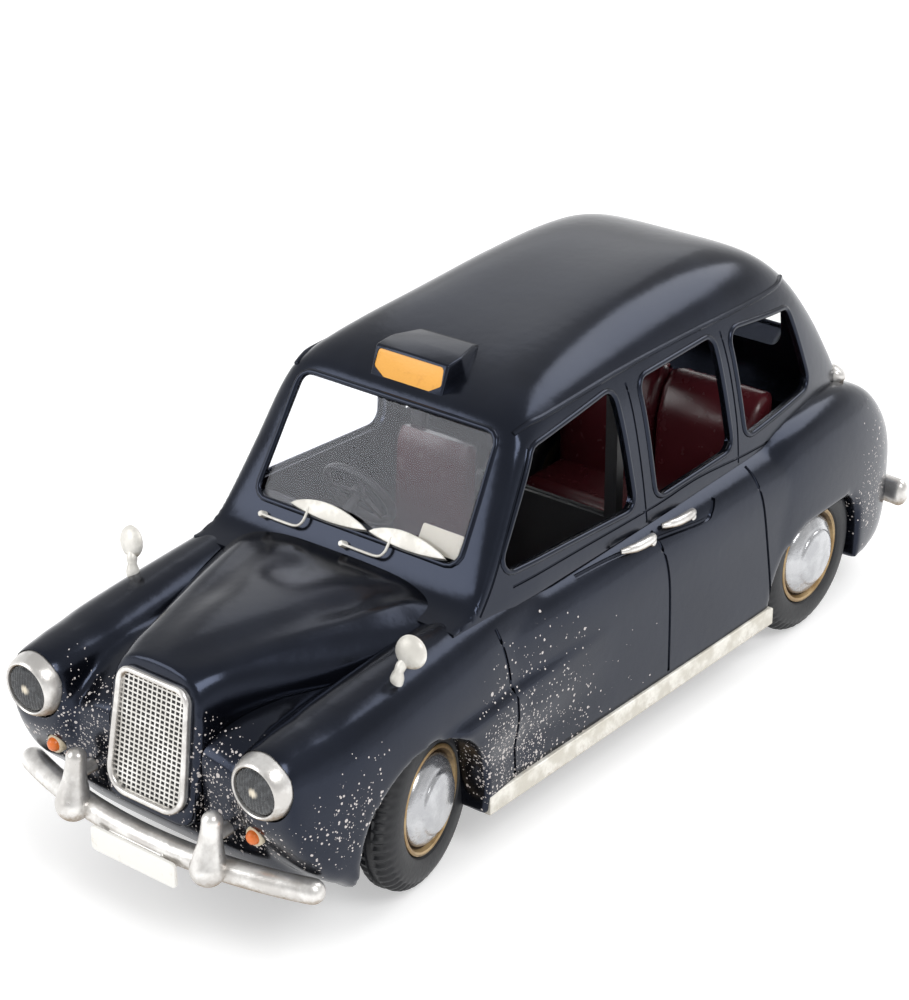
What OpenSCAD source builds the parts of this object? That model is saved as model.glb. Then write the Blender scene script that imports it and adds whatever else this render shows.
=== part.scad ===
// Model taxi cab: a hand-finished display model of a tall saloon cab, about 1:12.
// Units are millimetres. X points forward, Y to the car's left, Z up.
// The origin is on the floor under the middle of the overall length.

/* [Wheels] */
// Distance of the front axle ahead of the origin
front_axle_x = 111; // [90:0.5:130]
// Distance of the rear axle behind the origin
rear_axle_x = 112; // [90:0.5:130]
// Radius of the tyre tread
tyre_r = 31.4; // [26:0.1:36]
// Width of the tyre
tyre_w = 15; // [10:0.5:20]
// Radius of the rim as a share of the tyre's
rim_share = 0.605; // [0.5:0.005:0.7]
// Middle plane of the front wheels from the centre line
front_wheel_y = 51.6; // [46:0.1:56]
// Middle plane of the rear wheels from the centre line
rear_wheel_y = 57.6; // [52:0.1:62]
// Angle at which the left front wheel is set, to the left
steer_deg = 12; // [0:0.5:20]
// Angle at which the right front wheel is set, to the left
steer_right_deg = 9.5; // [0:0.5:20]
// Radius of the stub axle in each wheel
pin_r = 2.5; // [1.5:0.1:4]
// Radial running clearance of the wheel on its stub
pin_gap = 0.06; // [0.02:0.01:0.1]
// Radius of the hub cap as a share of the rim's
cap_share = 0.82; // [0.6:0.01:0.86]
// Radius of the raised centre as a share of the hub cap's
boss_share = 0.705; // [0.5:0.005:0.8]

/* [Body] */
// Flat underside of the body
body_z = 18; // [14:0.5:24]
// Thickness of the body walls
wall = 3.2; // [2:0.1:5]
// Thickness of the base plate
floor_t = 4; // [2:0.5:6]
// Width of the shut lines round the doors
groove_w = 0.9; // [0.4:0.1:2]
// Depth of the shut lines round the doors
groove_d = 0.8; // [0.4:0.1:1.5]
// Gap between the bonnet and the wings
bonnet_gap = 0.4; // [0.2:0.1:1]
// Top of the front wheel arch
front_arch_z = 59.5; // [52:0.5:62]
// Top of the rear wheel arch
rear_arch_z = 50; // [48:0.5:56]

/* [Glass] */
// Thickness of the windscreen and rear window
glass_t = 1.2; // [0.6:0.1:2]
// Corner radius of the windows
window_r = 5; // [2:0.5:8]

/* [Grille] */
// Height of the grille along its slope
grille_h = 43.2; // [35:0.1:50]
// Half width of the grille at its foot
grille_low_w = 17; // [12:0.1:22]
// Half width of the grille at its top
grille_top_w = 15.2; // [10:0.1:20]
// Width of the bright surround
grille_rim = 1.6; // [1:0.1:4]
// Columns of the mesh
grille_cols = 15; // [6:1:20]
// Rows of the mesh
grille_rows = 24; // [10:1:30]

/* [Lamps] */
// Centre of the headlamps from the centre line
lamp_y = 49.4; // [44:0.1:54]
// Height of the headlamps
lamp_z = 68; // [60:0.5:76]
// Outer radius of the headlamp surround
lamp_r = 11.2; // [9:0.1:14]
// Radius of the headlamp lens
lens_r = 8.2; // [6:0.1:10]
// Face of the headlamp lens
lens_x = 182.6; // [178:0.1:186]
// Radius of the ring round the indicators
indicator_r = 3.4; // [2.5:0.1:5.5]

/* [Bumpers] */
// Front of the front bumper at the middle, from the origin
bumper_x = 186; // [180:0.5:190]
// Half width of the front bumper
bumper_w = 63; // [55:0.5:70]
// Middle height of the front bumper
bumper_z = 31.6; // [26:0.1:40]
// Radius of the front bumper's bar
bumper_r = 4.2; // [2:0.1:6]
// How far the front bumper's ends sweep back
bumper_sweep = 10.5; // [8:0.5:30]
// Back of the rear bumper at the middle, from the origin
rear_bumper_x = 189; // [184:0.5:190]
// Half width of the rear bumper
rear_bumper_w = 64; // [55:0.5:70]
// Middle height of the rear bumper
rear_bumper_z = 31; // [26:0.5:40]
// Radius of the rear bumper's bar
rear_bumper_r = 3.8; // [2:0.1:6]
// How far the rear bumper's ends sweep forward
rear_bumper_sweep = 4; // [2:0.5:30]
// Overriders from the centre line
overrider_y = 29.8; // [20:0.1:40]
// Furthest point of the overriders, from the origin
overrider_x = 190; // [186:0.5:195]

/* [Sign] */
// Half width of the roof sign
sign_w = 15.6; // [10:0.1:22]
// Height of the roof sign
sign_h = 9.5; // [6:0.1:16]
// Length of the roof sign
sign_l = 22; // [12:0.5:30]
// Slope of the roof under the sign
sign_tilt = 17; // [8:0.5:24]

/* [Cabin fittings] */
// Front face of the partition
partition_x = -8; // [-20:0.5:5]
// Thickness of the partition
partition_t = 4; // [2:0.5:6]
// Driver's seat from the centre line, to the right
driver_y = 25; // [18:0.5:32]
// Radius of the steering wheel
helm_r = 15; // [10:0.5:18]

/* [Hidden] */
$fn = 48;
floor_z = body_z - floor_t;
axle_z = tyre_r;
rim_r = tyre_r * rim_share;
cap_r = rim_r * cap_share;
boss_r = cap_r * boss_share;
seat_z = 84;

// Columns of every form table: station x, centre y, half width, low z, widest z, top z,
// fullness above, fullness below, narrowing for each mm of height.
tub_rows = [
    [  92, 0, 63.6, 10, 55, 87.0, 5.0, 10, 0],
    [  55, 0, 64.8, 10, 52, 88.0, 5.0, 10, 0],
    [   0, 0, 66.2, 10, 50, 89.0, 5.0, 10, 0],
    [ -55, 0, 67.5, 10, 50, 90.0, 5.0, 10, 0],
    [-105, 0, 68.0, 10, 50, 90.5, 4.6, 10, 0],
    [-140, 0, 65.5, 10, 50, 89.5, 4.0,  8, 0],
    [-160, 0, 58.5, 11, 50, 86.0, 3.5,  6, 0],
    [-172, 0, 47.0, 14, 50, 78.0, 3.0,  5, 0],
    [-179, 0, 30.0, 22, 50, 68.0, 2.6,  4, 0]];
rear_wing_rows = [
    [ -70, 51, 15.0, 12, 50, 80.0, 2.8, 8, 0],
    [ -88, 52, 16.4, 11, 50, 88.0, 2.8, 8, 0],
    [-112, 52, 17.2, 11, 50, 91.0, 2.8, 8, 0],
    [-138, 51, 17.2, 11, 50, 90.0, 2.8, 8, 0],
    [-158, 50, 16.0, 13, 48, 84.0, 2.7, 6, 0],
    [-171, 49, 13.6, 17, 47, 74.0, 2.5, 5, 0],
    [-178, 48.4, 10.0, 30, 48, 64.0, 2.3, 4, 0],
    [-181.6, 48, 5.5, 44, 50, 56.0, 2.2, 3, 0]];
boot_rows = [
    [-124, 0, 47.0, 20, 60, 101.0, 3.6, 6, 0],
    [-142, 0, 46.0, 20, 60,  98.5, 3.4, 6, 0],
    [-158, 0, 44.0, 20, 60,  91.5, 3.2, 6, 0],
    [-170, 0, 41.5, 20, 58,  81.0, 3.0, 5, 0],
    [-178, 0, 38.0, 24, 54,  69.0, 2.8, 5, 0],
    [-182.5, 0, 30.0, 40, 51,  59.0, 2.4, 4, 0]];
apron_rows = [
    [  78, 0, 60.0, 12, 45, 76.0, 4.0, 8, 0],
    [ 138, 0, 60.0, 14, 45, 77.0, 4.0, 8, 0],
    [ 150, 0, 58.0, 20, 47, 76.5, 3.6, 7, 0],
    [ 160, 0, 55.0, 30, 49, 75.0, 3.2, 6, 0],
    [ 168, 0, 49.0, 35, 50, 72.0, 3.0, 5, 0],
    [ 174.5, 0, 43.0, 42, 52, 67.0, 2.8, 4, 0]];
front_wing_rows = [
    [  70, 50.0, 14.4, 12, 55, 88.0, 2.6, 8, 0],
    [  88, 50.0, 15.9, 12, 55, 87.4, 2.6, 8, 0],
    [ 112, 50.2, 16.9, 12, 52, 85.6, 2.6, 8, 0],
    [ 132, 50.2, 17.4, 12, 52, 84.0, 2.6, 8, 0],
    [ 148, 50.0, 17.1, 18, 53, 82.6, 2.6, 7, 0],
    [ 157, 49.8, 16.5, 29, 54, 81.6, 2.5, 6, 0],
    [ 164, 49.6, 15.6, 34, 55, 81.2, 2.5, 6, 0],
    [ 171, 49.4, 14.2, 39, 58, 80.6, 2.4, 5, 0],
    [ 176, 49.4, 12.8, 46, 62, 80.0, 2.3, 4, 0],
    [ 179, 49.4, 11.2, 53, 66, 78.8, 2.2, 3, 0]];
bonnet_rows = [
    [  82, 0, 51.0, 60, 74, 92.0, 3.2, 8, 0],
    [  96, 0, 48.0, 60, 73, 93.0, 2.9, 8, 0],
    [ 115, 0, 42.0, 58, 72, 93.6, 2.7, 8, 0],
    [ 134, 0, 34.5, 52, 70, 93.8, 2.7, 8, 0],
    [ 150, 0, 27.6, 44, 68, 93.4, 2.8, 8, 0],
    [ 163, 0, 23.0, 41, 66, 92.2, 3.0, 8, 0],
    [ 173, 0, 20.0, 39.6, 64, 89.6, 3.3, 8, 0],
    [ 186, 0, 18.6, 39.6, 62, 85.0, 3.6, 8, 0]];
cabin_rows = [
    [   96, 0, 57.0, 76, 86,  86.5,  6.0, 6, .0023],
    [   88, 0, 57.4, 76, 86,  88.6,  8.0, 6, .0023],
    [   83, 0, 57.6, 76, 86,  92.4,  9.0, 6, .0023],
    [ 77.6, 0, 57.8, 76, 86,  99.8, 10.0, 6, .0023],
    [   66, 0, 58.4, 76, 86, 118.2, 10.0, 6, .0023],
    [   55, 0, 58.8, 76, 86, 136.2, 10.0, 6, .0023],
    [   47, 0, 58.8, 76, 86, 143.2,  9.0, 6, .0023],
    [   30, 0, 58.7, 76, 86, 148.6,  7.0, 6, .0023],
    [    0, 0, 58.7, 76, 86, 153.6,  5.2, 6, .0023],
    [  -40, 0, 58.8, 76, 86, 157.4,  4.6, 6, .0023],
    [  -75, 0, 58.6, 76, 86, 157.2,  4.8, 6, .0023],
    [ -100, 0, 57.6, 76, 86, 152.8,  5.2, 6, .0023],
    [ -118, 0, 56.0, 76, 86, 143.5,  5.0, 6, .0023],
    [ -133, 0, 53.6, 76, 86, 128.0,  4.5, 6, .0023],
    [ -145, 0, 50.8, 76, 86, 109.0,  4.0, 6, .0023],
    [ -153, 0, 48.0, 76, 86,  92.0,  3.5, 6, .0023]];

// Columns of the side windows: four corners as x, z, from low front round over the top.
side_windows = [
    [[ 66,  97], [ 43, 131], [  0, 136], [ -3,  93]],
    [[-14,  92], [-12, 134], [-59, 135], [-63,  93]],
    [[-73,  94], [-69, 134], [-109, 129], [-120, 97]]];
// Corners of the windscreen as height along its slope and half width.
screen_corners = [[2, 43.5], [43.5, 41.5]];
// Corners of the rear window as height along its slope and half width.
rear_corners = [[3, 24], [22, 22]];
// Shut lines of the doors as runs of x, z on the flank.
shut_lines = [
    [[79, 84], [76, 60], [73.5, 26]],
    [[-9, 84], [-12.8, 60], [-13.8, 26]],
    [[-69, 86], [-72, 66], [-77, 40], [-79.5, 26]]];

// Catmull-Rom value between p1 and p2.
function spline(p0, p1, p2, p3, t) = 0.5 * (2 * p1 + (p2 - p0) * t
    + (2 * p0 - 5 * p1 + 4 * p2 - p3) * t * t + (3 * p1 - p0 - 3 * p2 + p3) * t * t * t);
// Row of a form table at u from 0 to 1.
function row_at(rows, u) = let (n = len(rows) - 1, i = min(floor(u * n), n - 1), t = u * n - i)
    [for (k = [0 : len(rows[0]) - 1])
        spline(rows[max(i - 1, 0)][k], rows[i][k], rows[i + 1][k], rows[min(i + 2, n)][k], t)];
// Signed power.
function spow(v, e) = sign(v) * pow(abs(v), e);
// Ring of points round one row.
function ring(r, count) = [for (k = [0 : count - 1])
    let (a = 360 * k / count, c = cos(a), s = sin(a), e = 2 / (s >= 0 ? r[6] : r[7]),
        z = r[4] + (s >= 0 ? r[5] - r[4] : r[4] - r[3]) * spow(s, e))
    [r[0], r[1] + r[2] * spow(c, e) * (1 - r[8] * max(0, z - r[4])), z]];
// Form table drawn in by a distance on every side.
function inset(rows, d) = [for (r = rows) [r[0], r[1], r[2] - d, r[3] + d, r[4], r[5] - d, r[6], r[7], r[8]]];
// Form table as a closed skin through smooth rings.
module loft(rows, steps, count) {
    rings = [for (s = [0 : steps]) ring(row_at(rows, s / steps), count)];
    turn = rows[0][0] > rows[len(rows) - 1][0];
    sides = [for (s = [0 : steps - 1], k = [0 : count - 1])
        let (a = s * count + k, b = s * count + (k + 1) % count)
        each [[a, b, b + count], [a, b + count, a + count]]];
    caps = [[for (k = [count - 1 : -1 : 0]) k], [for (k = [0 : count - 1]) steps * count + k]];
    faces = concat(sides, caps);
    polyhedron([for (r = rings) each r], [for (f = faces) turn ? f : [for (k = [len(f) - 1 : -1 : 0]) f[k]]], convexity = 8);
}
// Child and its mirror image on the other side of the car.
module both() {
    children();
    mirror([0, 1, 0]) children();
}
// Frame of a front wheel (side 1 is left), turned with the steering.
module front_place(side) {
    translate([front_axle_x, side * front_wheel_y, axle_z]) rotate([0, 0, side > 0 ? steer_deg : steer_right_deg]) rotate([-90 * side, 0, 0]) children();
}
// Frame of a rear wheel (side 1 is left).
module rear_place(side) {
    translate([-rear_axle_x, side * rear_wheel_y, axle_z]) rotate([-90 * side, 0, 0]) children();
}
// Frame of the grille: x across, y up the slope, z out of the nose.
grille_foot = [179.4, 0, 43.2];
grille_lean = atan2(7.8, 42.6);
module grille_place() {
    translate(grille_foot) rotate([0, -grille_lean, 0]) rotate([90, 0, 90]) children();
}
// Frame of the windscreen: x across, y up the slope, z outwards.
screen_foot = [78.9, 0, 97.8];
screen_lean = atan2(24.5, 37.4);
module screen_place() {
    translate(screen_foot) rotate([0, -screen_lean, 0]) rotate([90, 0, 90]) children();
}
// Frame of the rear window: x across, y up the slope, z outwards.
rear_foot = [-143.4, 0, 111.6];
rear_lean = atan2(12, 19);
module rear_window_place() {
    translate(rear_foot) rotate([0, rear_lean, 0]) rotate([90, 0, -90]) children();
}
// Frame of the roof sign: x backwards along the roof, y across, z off the roof.
module sign_place() {
    translate([44.6, 0, 141.9]) rotate([0, sign_tilt, 0]) mirror([1, 0, 0]) children();
}
// Rounded four-sided outline from two corner pairs.
module trapezium(low, high, r) {
    hull() for (s = [-1, 1]) {
        translate([s * (low[1] - r), low[0] + r]) circle(r, $fn = 24);
        translate([s * (high[1] - r), high[0] - r]) circle(r, $fn = 24);
    }
}
// Side window as a through cut on the left.
module window_cut(corners) {
    middle = (corners[0] + corners[1] + corners[2] + corners[3]) / 4;
    hull() for (c = corners)
        translate([c[0], 30, c[1]] + window_r * [sign(middle[0] - c[0]), 0, sign(middle[1] - c[1])])
            rotate([-90, 0, 0]) cylinder(40, window_r, window_r, $fn = 20);
}
// Windscreen and rear window as cuts through the cabin.
module screen_cut() {
    screen_place() translate([0, 0, -12]) linear_extrude(24) trapezium(screen_corners[0], screen_corners[1], window_r);
}
module rear_cut() {
    rear_window_place() translate([0, 0, -10]) linear_extrude(20) trapezium(rear_corners[0], rear_corners[1], window_r);
}
// Well round a wheel in the wheel's own frame, shaped to the tyre's shoulder.
module well_form() {
    translate([0, 0, -17]) cylinder(23.2, tyre_r + 2.2, tyre_r + 2.2, $fn = 40);
    translate([0, 0, 6]) cylinder(2.6, tyre_r + 2.2, tyre_r - 4, $fn = 40);
}
// Wells of the wheels, open downwards.
module front_well(side) {
    hull() for (z = [0, -40]) translate([0, 0, z]) front_place(side) well_form();
}
module rear_well(side) {
    hull() for (z = [0, -40]) translate([0, 0, z]) rear_place(side) well_form();
}
// Opening of a wheel arch in the skin: its top, and x and corner radius of its front and rear edges.
module arch(top, fore, aft) {
    hull() for (edge = [[fore[0] - fore[1], fore[1]], [aft[0] + aft[1], aft[1]]], z = [0, top - edge[1]])
        translate([edge[0], 50, z]) rotate([-90, 0, 0]) cylinder(40, edge[1], edge[1], $fn = 40);
}
// Shut lines as slots no deeper than the groove.
module shut_cut() {
    difference() {
        for (run = shut_lines, k = [0 : len(run) - 2])
            hull() for (p = [run[k], run[k + 1]])
                translate([p[0], 50, p[1]]) rotate([-90, 0, 0]) cylinder(30, groove_w / 2, groove_w / 2, $fn = 8);
        loft(inset(tub_rows, groove_d), 14, 32);
    }
}
// Outline of the sill strip in plan.
module sill_plan() {
    polygon([[88.5, 61.4], [88.5, 65.8], [-79, 69.2], [-79, 65.4]]);
}

module body_shell() {
    color("black") difference() {
        union() {
            loft(tub_rows, 14, 32);
            loft(boot_rows, 8, 24);
            loft(apron_rows, 8, 24);
            both() loft(rear_wing_rows, 13, 24);
            both() loft(front_wing_rows, 14, 24);
        }
        loft(bonnet_hole_rows, 14, 36);
        grille_place() translate([-30, -30, 0]) cube([60, 90, 40]);
        translate([-250, -100, -20]) cube([500, 200, body_z + 20]);
        translate([-126, -60, body_z - 1]) cube([208, 120, 59]);
        translate([-126, -53, body_z - 1]) cube([208, 106, 100]);
        intersection() {
            loft(cabin_rows, 26, 32);
            translate([-200, -80, seat_z]) cube([400, 160, 100]);
        }
        for (side = [-1, 1]) {
            front_well(side);
            rear_well(side);
        }
        both() {
            arch(front_arch_z, [front_axle_x + 42, 30], [front_axle_x - 21, 30]);
            arch(rear_arch_z, [-rear_axle_x + 32.5, 28], [-rear_axle_x - 30.5, 16]);
            shut_cut();
            translate([0, 0, body_z - 1]) linear_extrude(7.5) sill_plan();
            translate([172, lamp_y, lamp_z]) rotate([0, 90, 0]) cylinder(20, lamp_r + 0.3, lamp_r + 0.3);
            translate([174, 43.7, 47.3]) rotate([0, 90, 0]) cylinder(20, indicator_r + 0.2, indicator_r + 0.2);
            translate([124.9, 57.4, 78]) cylinder(20, 2.6, 2.6);
            translate([170, overrider_y, 43.5]) rotate([0, 90, 0]) cylinder(12, lug_r + 0.05, lug_r + 0.05);
            translate([-195, 49, 62]) rotate([0, 90, 0]) cylinder(20, 5.3, 5.3);
        }
        for (side = [-1, 1], x = handle_x) translate([x - 9.7, side * 66 - 5.5, 80.2]) cube([19.4, 11, 3.2]);
        translate([front_axle_x - 9, -40, body_z - 1]) cube([18, 80, 24]);
        translate([-rear_axle_x - 9, -50, body_z - 1]) cube([18, 100, 24]);
        bumper_bar(bumper_x, bumper_w, bumper_sweep, bumper_z, bumper_r + 0.5);
        mirror([1, 0, 0]) bumper_bar(rear_bumper_x, rear_bumper_w, rear_bumper_sweep, rear_bumper_z, rear_bumper_r + 0.5);
        filler_place() cylinder(20, 4.6, 4.6);
    }
}
bonnet_hole_rows = inset(bonnet_rows, -bonnet_gap);

module bonnet() {
    color("black") difference() {
        loft(bonnet_rows, 14, 36);
        grille_place() translate([-30, -30, 0]) cube([60, 90, 40]);
        loft(inset(cabin_rows, -0.4), 26, 32);
    }
}

module cabin() {
    color("black") difference() {
        loft(cabin_rows, 26, 32);
        intersection() {
            loft(inset(cabin_rows, wall), 26, 32);
            translate([-138, -80, 60]) cube([220, 160, 120]);
        }
        translate([-200, -80, 60]) cube([400, 160, seat_z - 60]);
        translate([-170, -80, 60]) cube([18, 160, 60]);
        both() for (w = side_windows) window_cut(w);
        screen_cut();
        rear_cut();
        sign_place() linear_extrude(20) offset(0.3) sign_plan();
        screen_place() for (w = wiper_rows) translate([w[0], -4.4, -1]) cylinder(10, 2.3, 2.3);
        filler_place() cylinder(20, 4.6, 4.6);
    }
}

module base_plate() {
    color("dimgray") translate([0, 0, floor_z]) linear_extrude(floor_t) difference() {
        polygon([[146, 55], [80, 59], [-80, 63], [-150, 56], [-166, 42], [-166, -42], [-150, -56], [-80, -63], [80, -59], [146, -55]]);
        for (s = [-1, 1]) {
            translate([front_axle_x - 36, s > 0 ? 33 : -70]) square([80, 37]);
            translate([-rear_axle_x - 34.5, s > 0 ? 46 : -70]) square([69, 24]);
        }
    }
}

module windscreen() {
    color("lightblue") screen_place() translate([0, 0, -1.2 - glass_t]) linear_extrude(glass_t) trapezium(screen_corners[0], screen_corners[1], window_r);
}
module rear_window() {
    color("lightblue") rear_window_place() translate([0, 0, -1.4 - glass_t]) linear_extrude(glass_t) trapezium(rear_corners[0], rear_corners[1], window_r);
}

// Corner radii of the grille at its foot and its top, half the width of a wire and the mesh's clearance.
grille_low_r = 8;
grille_top_r = 5;
wire = 0.28;
mesh_gap = 0.05;
// Centres and radii of the right-hand corners of the grille's outline drawn in by d: foot, top.
function grille_corners(d) = let (q = grille_low_r - d / 2, r = grille_top_r - d / 2)
    [[grille_low_w - d - q, d + q, q], [grille_top_w - d - r, grille_h - d - r, r]];
// Outline of the grille drawn in by d.
function grille_points(d) = let (half = [for (k = [0, 1], c = [grille_corners(d)[k]], a = [90 * k - 90 : 15 : 90 * k])
        [c[0] + c[2] * cos(a), c[1] + c[2] * sin(a)]])
    concat(half, [for (k = [len(half) - 1 : -1 : 0]) [-half[k][0], half[k][1]]]);
// Whether a point of the right half lies inside the outline drawn in by d.
function in_grille(p, d) = let (c = grille_corners(d), low = p - [c[0][0], c[0][1]], top = p - [c[1][0], c[1][1]])
    p[0] < grille_low_w + (grille_top_w - grille_low_w) * p[1] / grille_h - d
    && (min(low[0], -low[1]) < 0 || norm(low) < c[0][2] * cos(7.5))
    && (min(top[0], top[1]) < 0 || norm(top) < c[1][2] * cos(7.5));
module grille_frame() {
    color("silver") grille_place() linear_extrude(2.6) difference() {
        polygon(grille_points(0));
        polygon(grille_points(grille_rim));
    }
}
module grille_mesh() {
    pitch_x = 2 * (grille_low_w - grille_rim) / grille_cols;
    pitch_y = (grille_h - 2 * grille_rim) / grille_rows;
    outline = grille_points(grille_rim + mesh_gap);
    hole = [pitch_x / 2 - wire, pitch_y / 2 - wire];
    cells = [for (i = [0 : grille_cols - 1], j = [0 : grille_rows - 1])
        let (x = (i - (grille_cols - 1) / 2) * pitch_x, y = grille_rim + (j + 0.5) * pitch_y)
        if (min([for (s = [-1, 1]) in_grille([abs(x) + hole[0], y + s * hole[1]], grille_rim + wire) ? 1 : 0]) > 0) [x, y]];
    n = len(outline);
    holes = [for (c = cells, q = [[-1, -1], [-1, 1], [1, 1], [1, -1]]) [c[0] + q[0] * hole[0], c[1] + q[1] * hole[1]]];
    color("gray") grille_place() linear_extrude(1) polygon(concat(outline, holes),
        concat([[for (k = [0 : n - 1]) k]], [for (k = [0 : len(cells) - 1]) [for (q = [0 : 3]) n + 4 * k + q]]));
}

// Headlamp surround turned about its axis, seated at x = 172.
module headlamp(side) {
    color("silver") translate([172, side * lamp_y, lamp_z]) rotate([0, 90, 0]) rotate_extrude()
        polygon([[0, 0], [lamp_r, 0], [lamp_r, 4.6], [lamp_r - 0.6, 6], [lens_r + 1.4, 10.6], [lens_r, 10.6], [lens_r, 6], [0, 6]]);
}
module lens(side) {
    color("lightyellow") translate([178, side * lamp_y, lamp_z]) rotate([0, 90, 0]) rotate_extrude()
        polygon([[0, 0], [lens_r, 0], [lens_r, 3.2], [lens_r * 0.7, 4.3], [lens_r * 0.35, 4.9], [0, 5.1]]);
}
module headlamp_left() { headlamp(1); }
module headlamp_right() { headlamp(-1); }
module lens_left() { lens(1); }
module lens_right() { lens(-1); }

module indicators() {
    color("orange") both() translate([174, 43.7, 47.3]) rotate([0, 90, 0]) rotate_extrude()
        polygon([[0, 0], [indicator_r, 0], [indicator_r, 3], [indicator_r - 0.5, 3.8], [indicator_r - 1, 3.8], [indicator_r - 1.2, 4.8], [indicator_r - 2.2, 5.5], [0, 5.8]]);
}

// Curved round bar pointing to +X: furthest x, half width, sweep of the ends, height, radius.
module bumper_bar(x, half, sweep, z, r) {
    radius = (half * half + sweep * sweep) / (2 * sweep);
    reach = asin(half / radius);
    translate([x - radius, 0, z]) {
        rotate([0, 0, -reach]) rotate_extrude(angle = 2 * reach, $fn = 96) translate([radius - r, 0]) circle(r, $fn = 32);
        for (s = [-1, 1]) rotate([0, 0, s * reach]) translate([radius - r, 0, 0]) rotate([-90 * s, 0, 0]) bar_end(r - bar_step);
    }
}
// Rounded end of a bar, let into it by its own radius.
module bar_end(r) {
    rotate_extrude($fn = 32) polygon([[0, -r], [r, -r], for (a = [0 : 15 : 90]) r * [cos(a), sin(a)]]);
}
// Pair of pear-shaped overriders, each turned from one profile: foot x, z, radius and top x, z, radius.
module overriders(foot, top) {
    run = norm([top[0] - foot[0], top[1] - foot[1]]);
    lean = atan2(top[0] - foot[0], top[1] - foot[1]);
    both() translate([foot[0], overrider_y, foot[1]]) rotate([0, lean, 0]) rotate_extrude($fn = 32)
        polygon([for (a = [-90 : 15 : 15]) foot[2] * [cos(a), sin(a)],
            for (a = [15 : 15 : 90]) [top[2] * cos(a), run + top[2] * sin(a)]]);
}
// How far the bars' rounded ends stand in from the bar.
bar_step = 0.08;
// Pair of bumper irons from the base plate's edge at x0 to the bar's middle at x1, z1.
module irons(x0, x1, z1) {
    both() translate([x0, 14, floor_z]) cube([x1 - x0, 6, floor_t]);
    both() translate([x1 - 3, 14, floor_z]) cube([3, 6, z1 - floor_z]);
}
// Radius of the lugs that carry the front bumper.
lug_r = 2.4;
module front_bumper() {
    color("silver") {
        bumper_bar(bumper_x, bumper_w, bumper_sweep, bumper_z, bumper_r);
        overriders([overrider_x - 6, 33.4, 6], [181, 49.2, 3.5]);
        translate([179, -12, 24]) cube([7.4, 24, 8]);
        both() translate([170, overrider_y, 43.5]) rotate([0, 90, 0]) cylinder(12, lug_r, lug_r);
    }
}
module rear_bumper() {
    color("silver") mirror([1, 0, 0]) {
        bumper_bar(rear_bumper_x, rear_bumper_w, rear_bumper_sweep, rear_bumper_z, rear_bumper_r);
        overriders([overrider_x - 3.8, 29, 3.8], [186, 40, 3]);
        irons(166, rear_bumper_x - rear_bumper_r - 0.6, rear_bumper_z);
    }
}
module number_plate() {
    color("ivory") translate([186.4, -18.6, 22.6]) cube([1.4, 37.2, 9]);
}
module tail_lamps() {
    color("darkred") both() translate([-175, 49, 62]) rotate([0, -90, 0]) rotate_extrude()
        polygon([[0, 0], [5, 0], [5, 5], [4.2, 6.2], [2.2, 7.4], [0, 7.8]]);
}

// Outline of the sign in plan, from its face back.
module sign_plan() {
    polygon([[-sign_foot, -sign_w], [-sign_foot, sign_w], [sign_l * 0.36, sign_w], [sign_l, sign_w * 0.7], [sign_l, -sign_w * 0.7], [sign_l * 0.36, -sign_w]]);
}
// Frame of the sign's face: x into the sign, y across, z up the face.
sign_foot = 6.2;
sign_lean = atan2(sign_foot + 1.1, sign_h);
face_h = norm([sign_foot + 1.1, sign_h]);
module face_place() {
    sign_place() translate([-sign_foot, 0, 0]) rotate([0, sign_lean, 0]) children();
}
// Shield outline of the sign's face.
module face_outline() {
    polygon([[-sign_w * 0.9, face_h - 1], [-sign_w * 0.92, 3.8], [-sign_w * 0.72, 1.9], [-sign_w * 0.36, 1.1], [0, 0.9],
        [sign_w * 0.36, 1.1], [sign_w * 0.72, 1.9], [sign_w * 0.92, 3.8], [sign_w * 0.9, face_h - 1]]);
}
module sign_housing() {
    color("black") difference() {
        sign_place() intersection() {
            linear_extrude(sign_h + 1) sign_plan();
            translate([0, 30, 0]) rotate([90, 0, 0]) linear_extrude(60)
                polygon([[-sign_foot, 0], [1.1, sign_h], [sign_l * 0.45, sign_h * 0.8], [sign_l * 0.86, sign_h * 0.45], [sign_l, sign_h * 0.2], [sign_l, 0]]);
        }
        face_place() translate([-1, 0, 0]) rotate([90, 0, 90]) linear_extrude(2) face_outline();
    }
}
module sign_face() {
    color("gold") face_place() translate([0.2, 0, 0]) rotate([90, 0, 90]) linear_extrude(0.8) face_outline();
}

// Round mirror on its stalk, on the left.
module mirror_unit() {
    color("silver") translate([124.9, 57.4, 78]) {
        cylinder(9, 2.2, 1.2);
        translate([0, 0, 8]) rotate([-22, -16, 0]) cylinder(5, 1.1, 1.1);
        translate([-3, 3.3, 14.9]) rotate([0, 80, 8]) translate([0, 0, -1.4]) rotate_extrude() polygon([[0, 0], [5.2, 0], [5.6, 0.8], [5.2, 1.8], [3, 3], [0, 3.6]]);
    }
}
module mirror_left() { mirror_unit(); }
module mirror_right() { mirror([0, 1, 0]) mirror_unit(); }

// Wiper arms and blades on the windscreen, from a table: foot y, blade start y, blade end y.
wiper_rows = [[-37, -27.3, 6.4], [-1, 7.2, 40]];
module wipers() {
    color("silver") screen_place() for (w = wiper_rows) {
        translate([w[0], -4.4, -1]) cylinder(4.4, 2, 1.6);
        translate([w[0] - 0.8, -5.2, 1.8]) cube([19, 1.6, 1.2]);
        translate([w[0] + 17, -5.2, 1.2]) cube([1.4, 8.6, 1.2]);
        translate([w[1], 2.6, 0.4]) linear_extrude(1.4) polygon([[0, 0.8], [3, 0], [w[2] - w[1] - 3, 0], [w[2] - w[1], 0.8], [w[2] - w[1] - 3, 1.8], [3, 1.8]]);
    }
}

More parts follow.
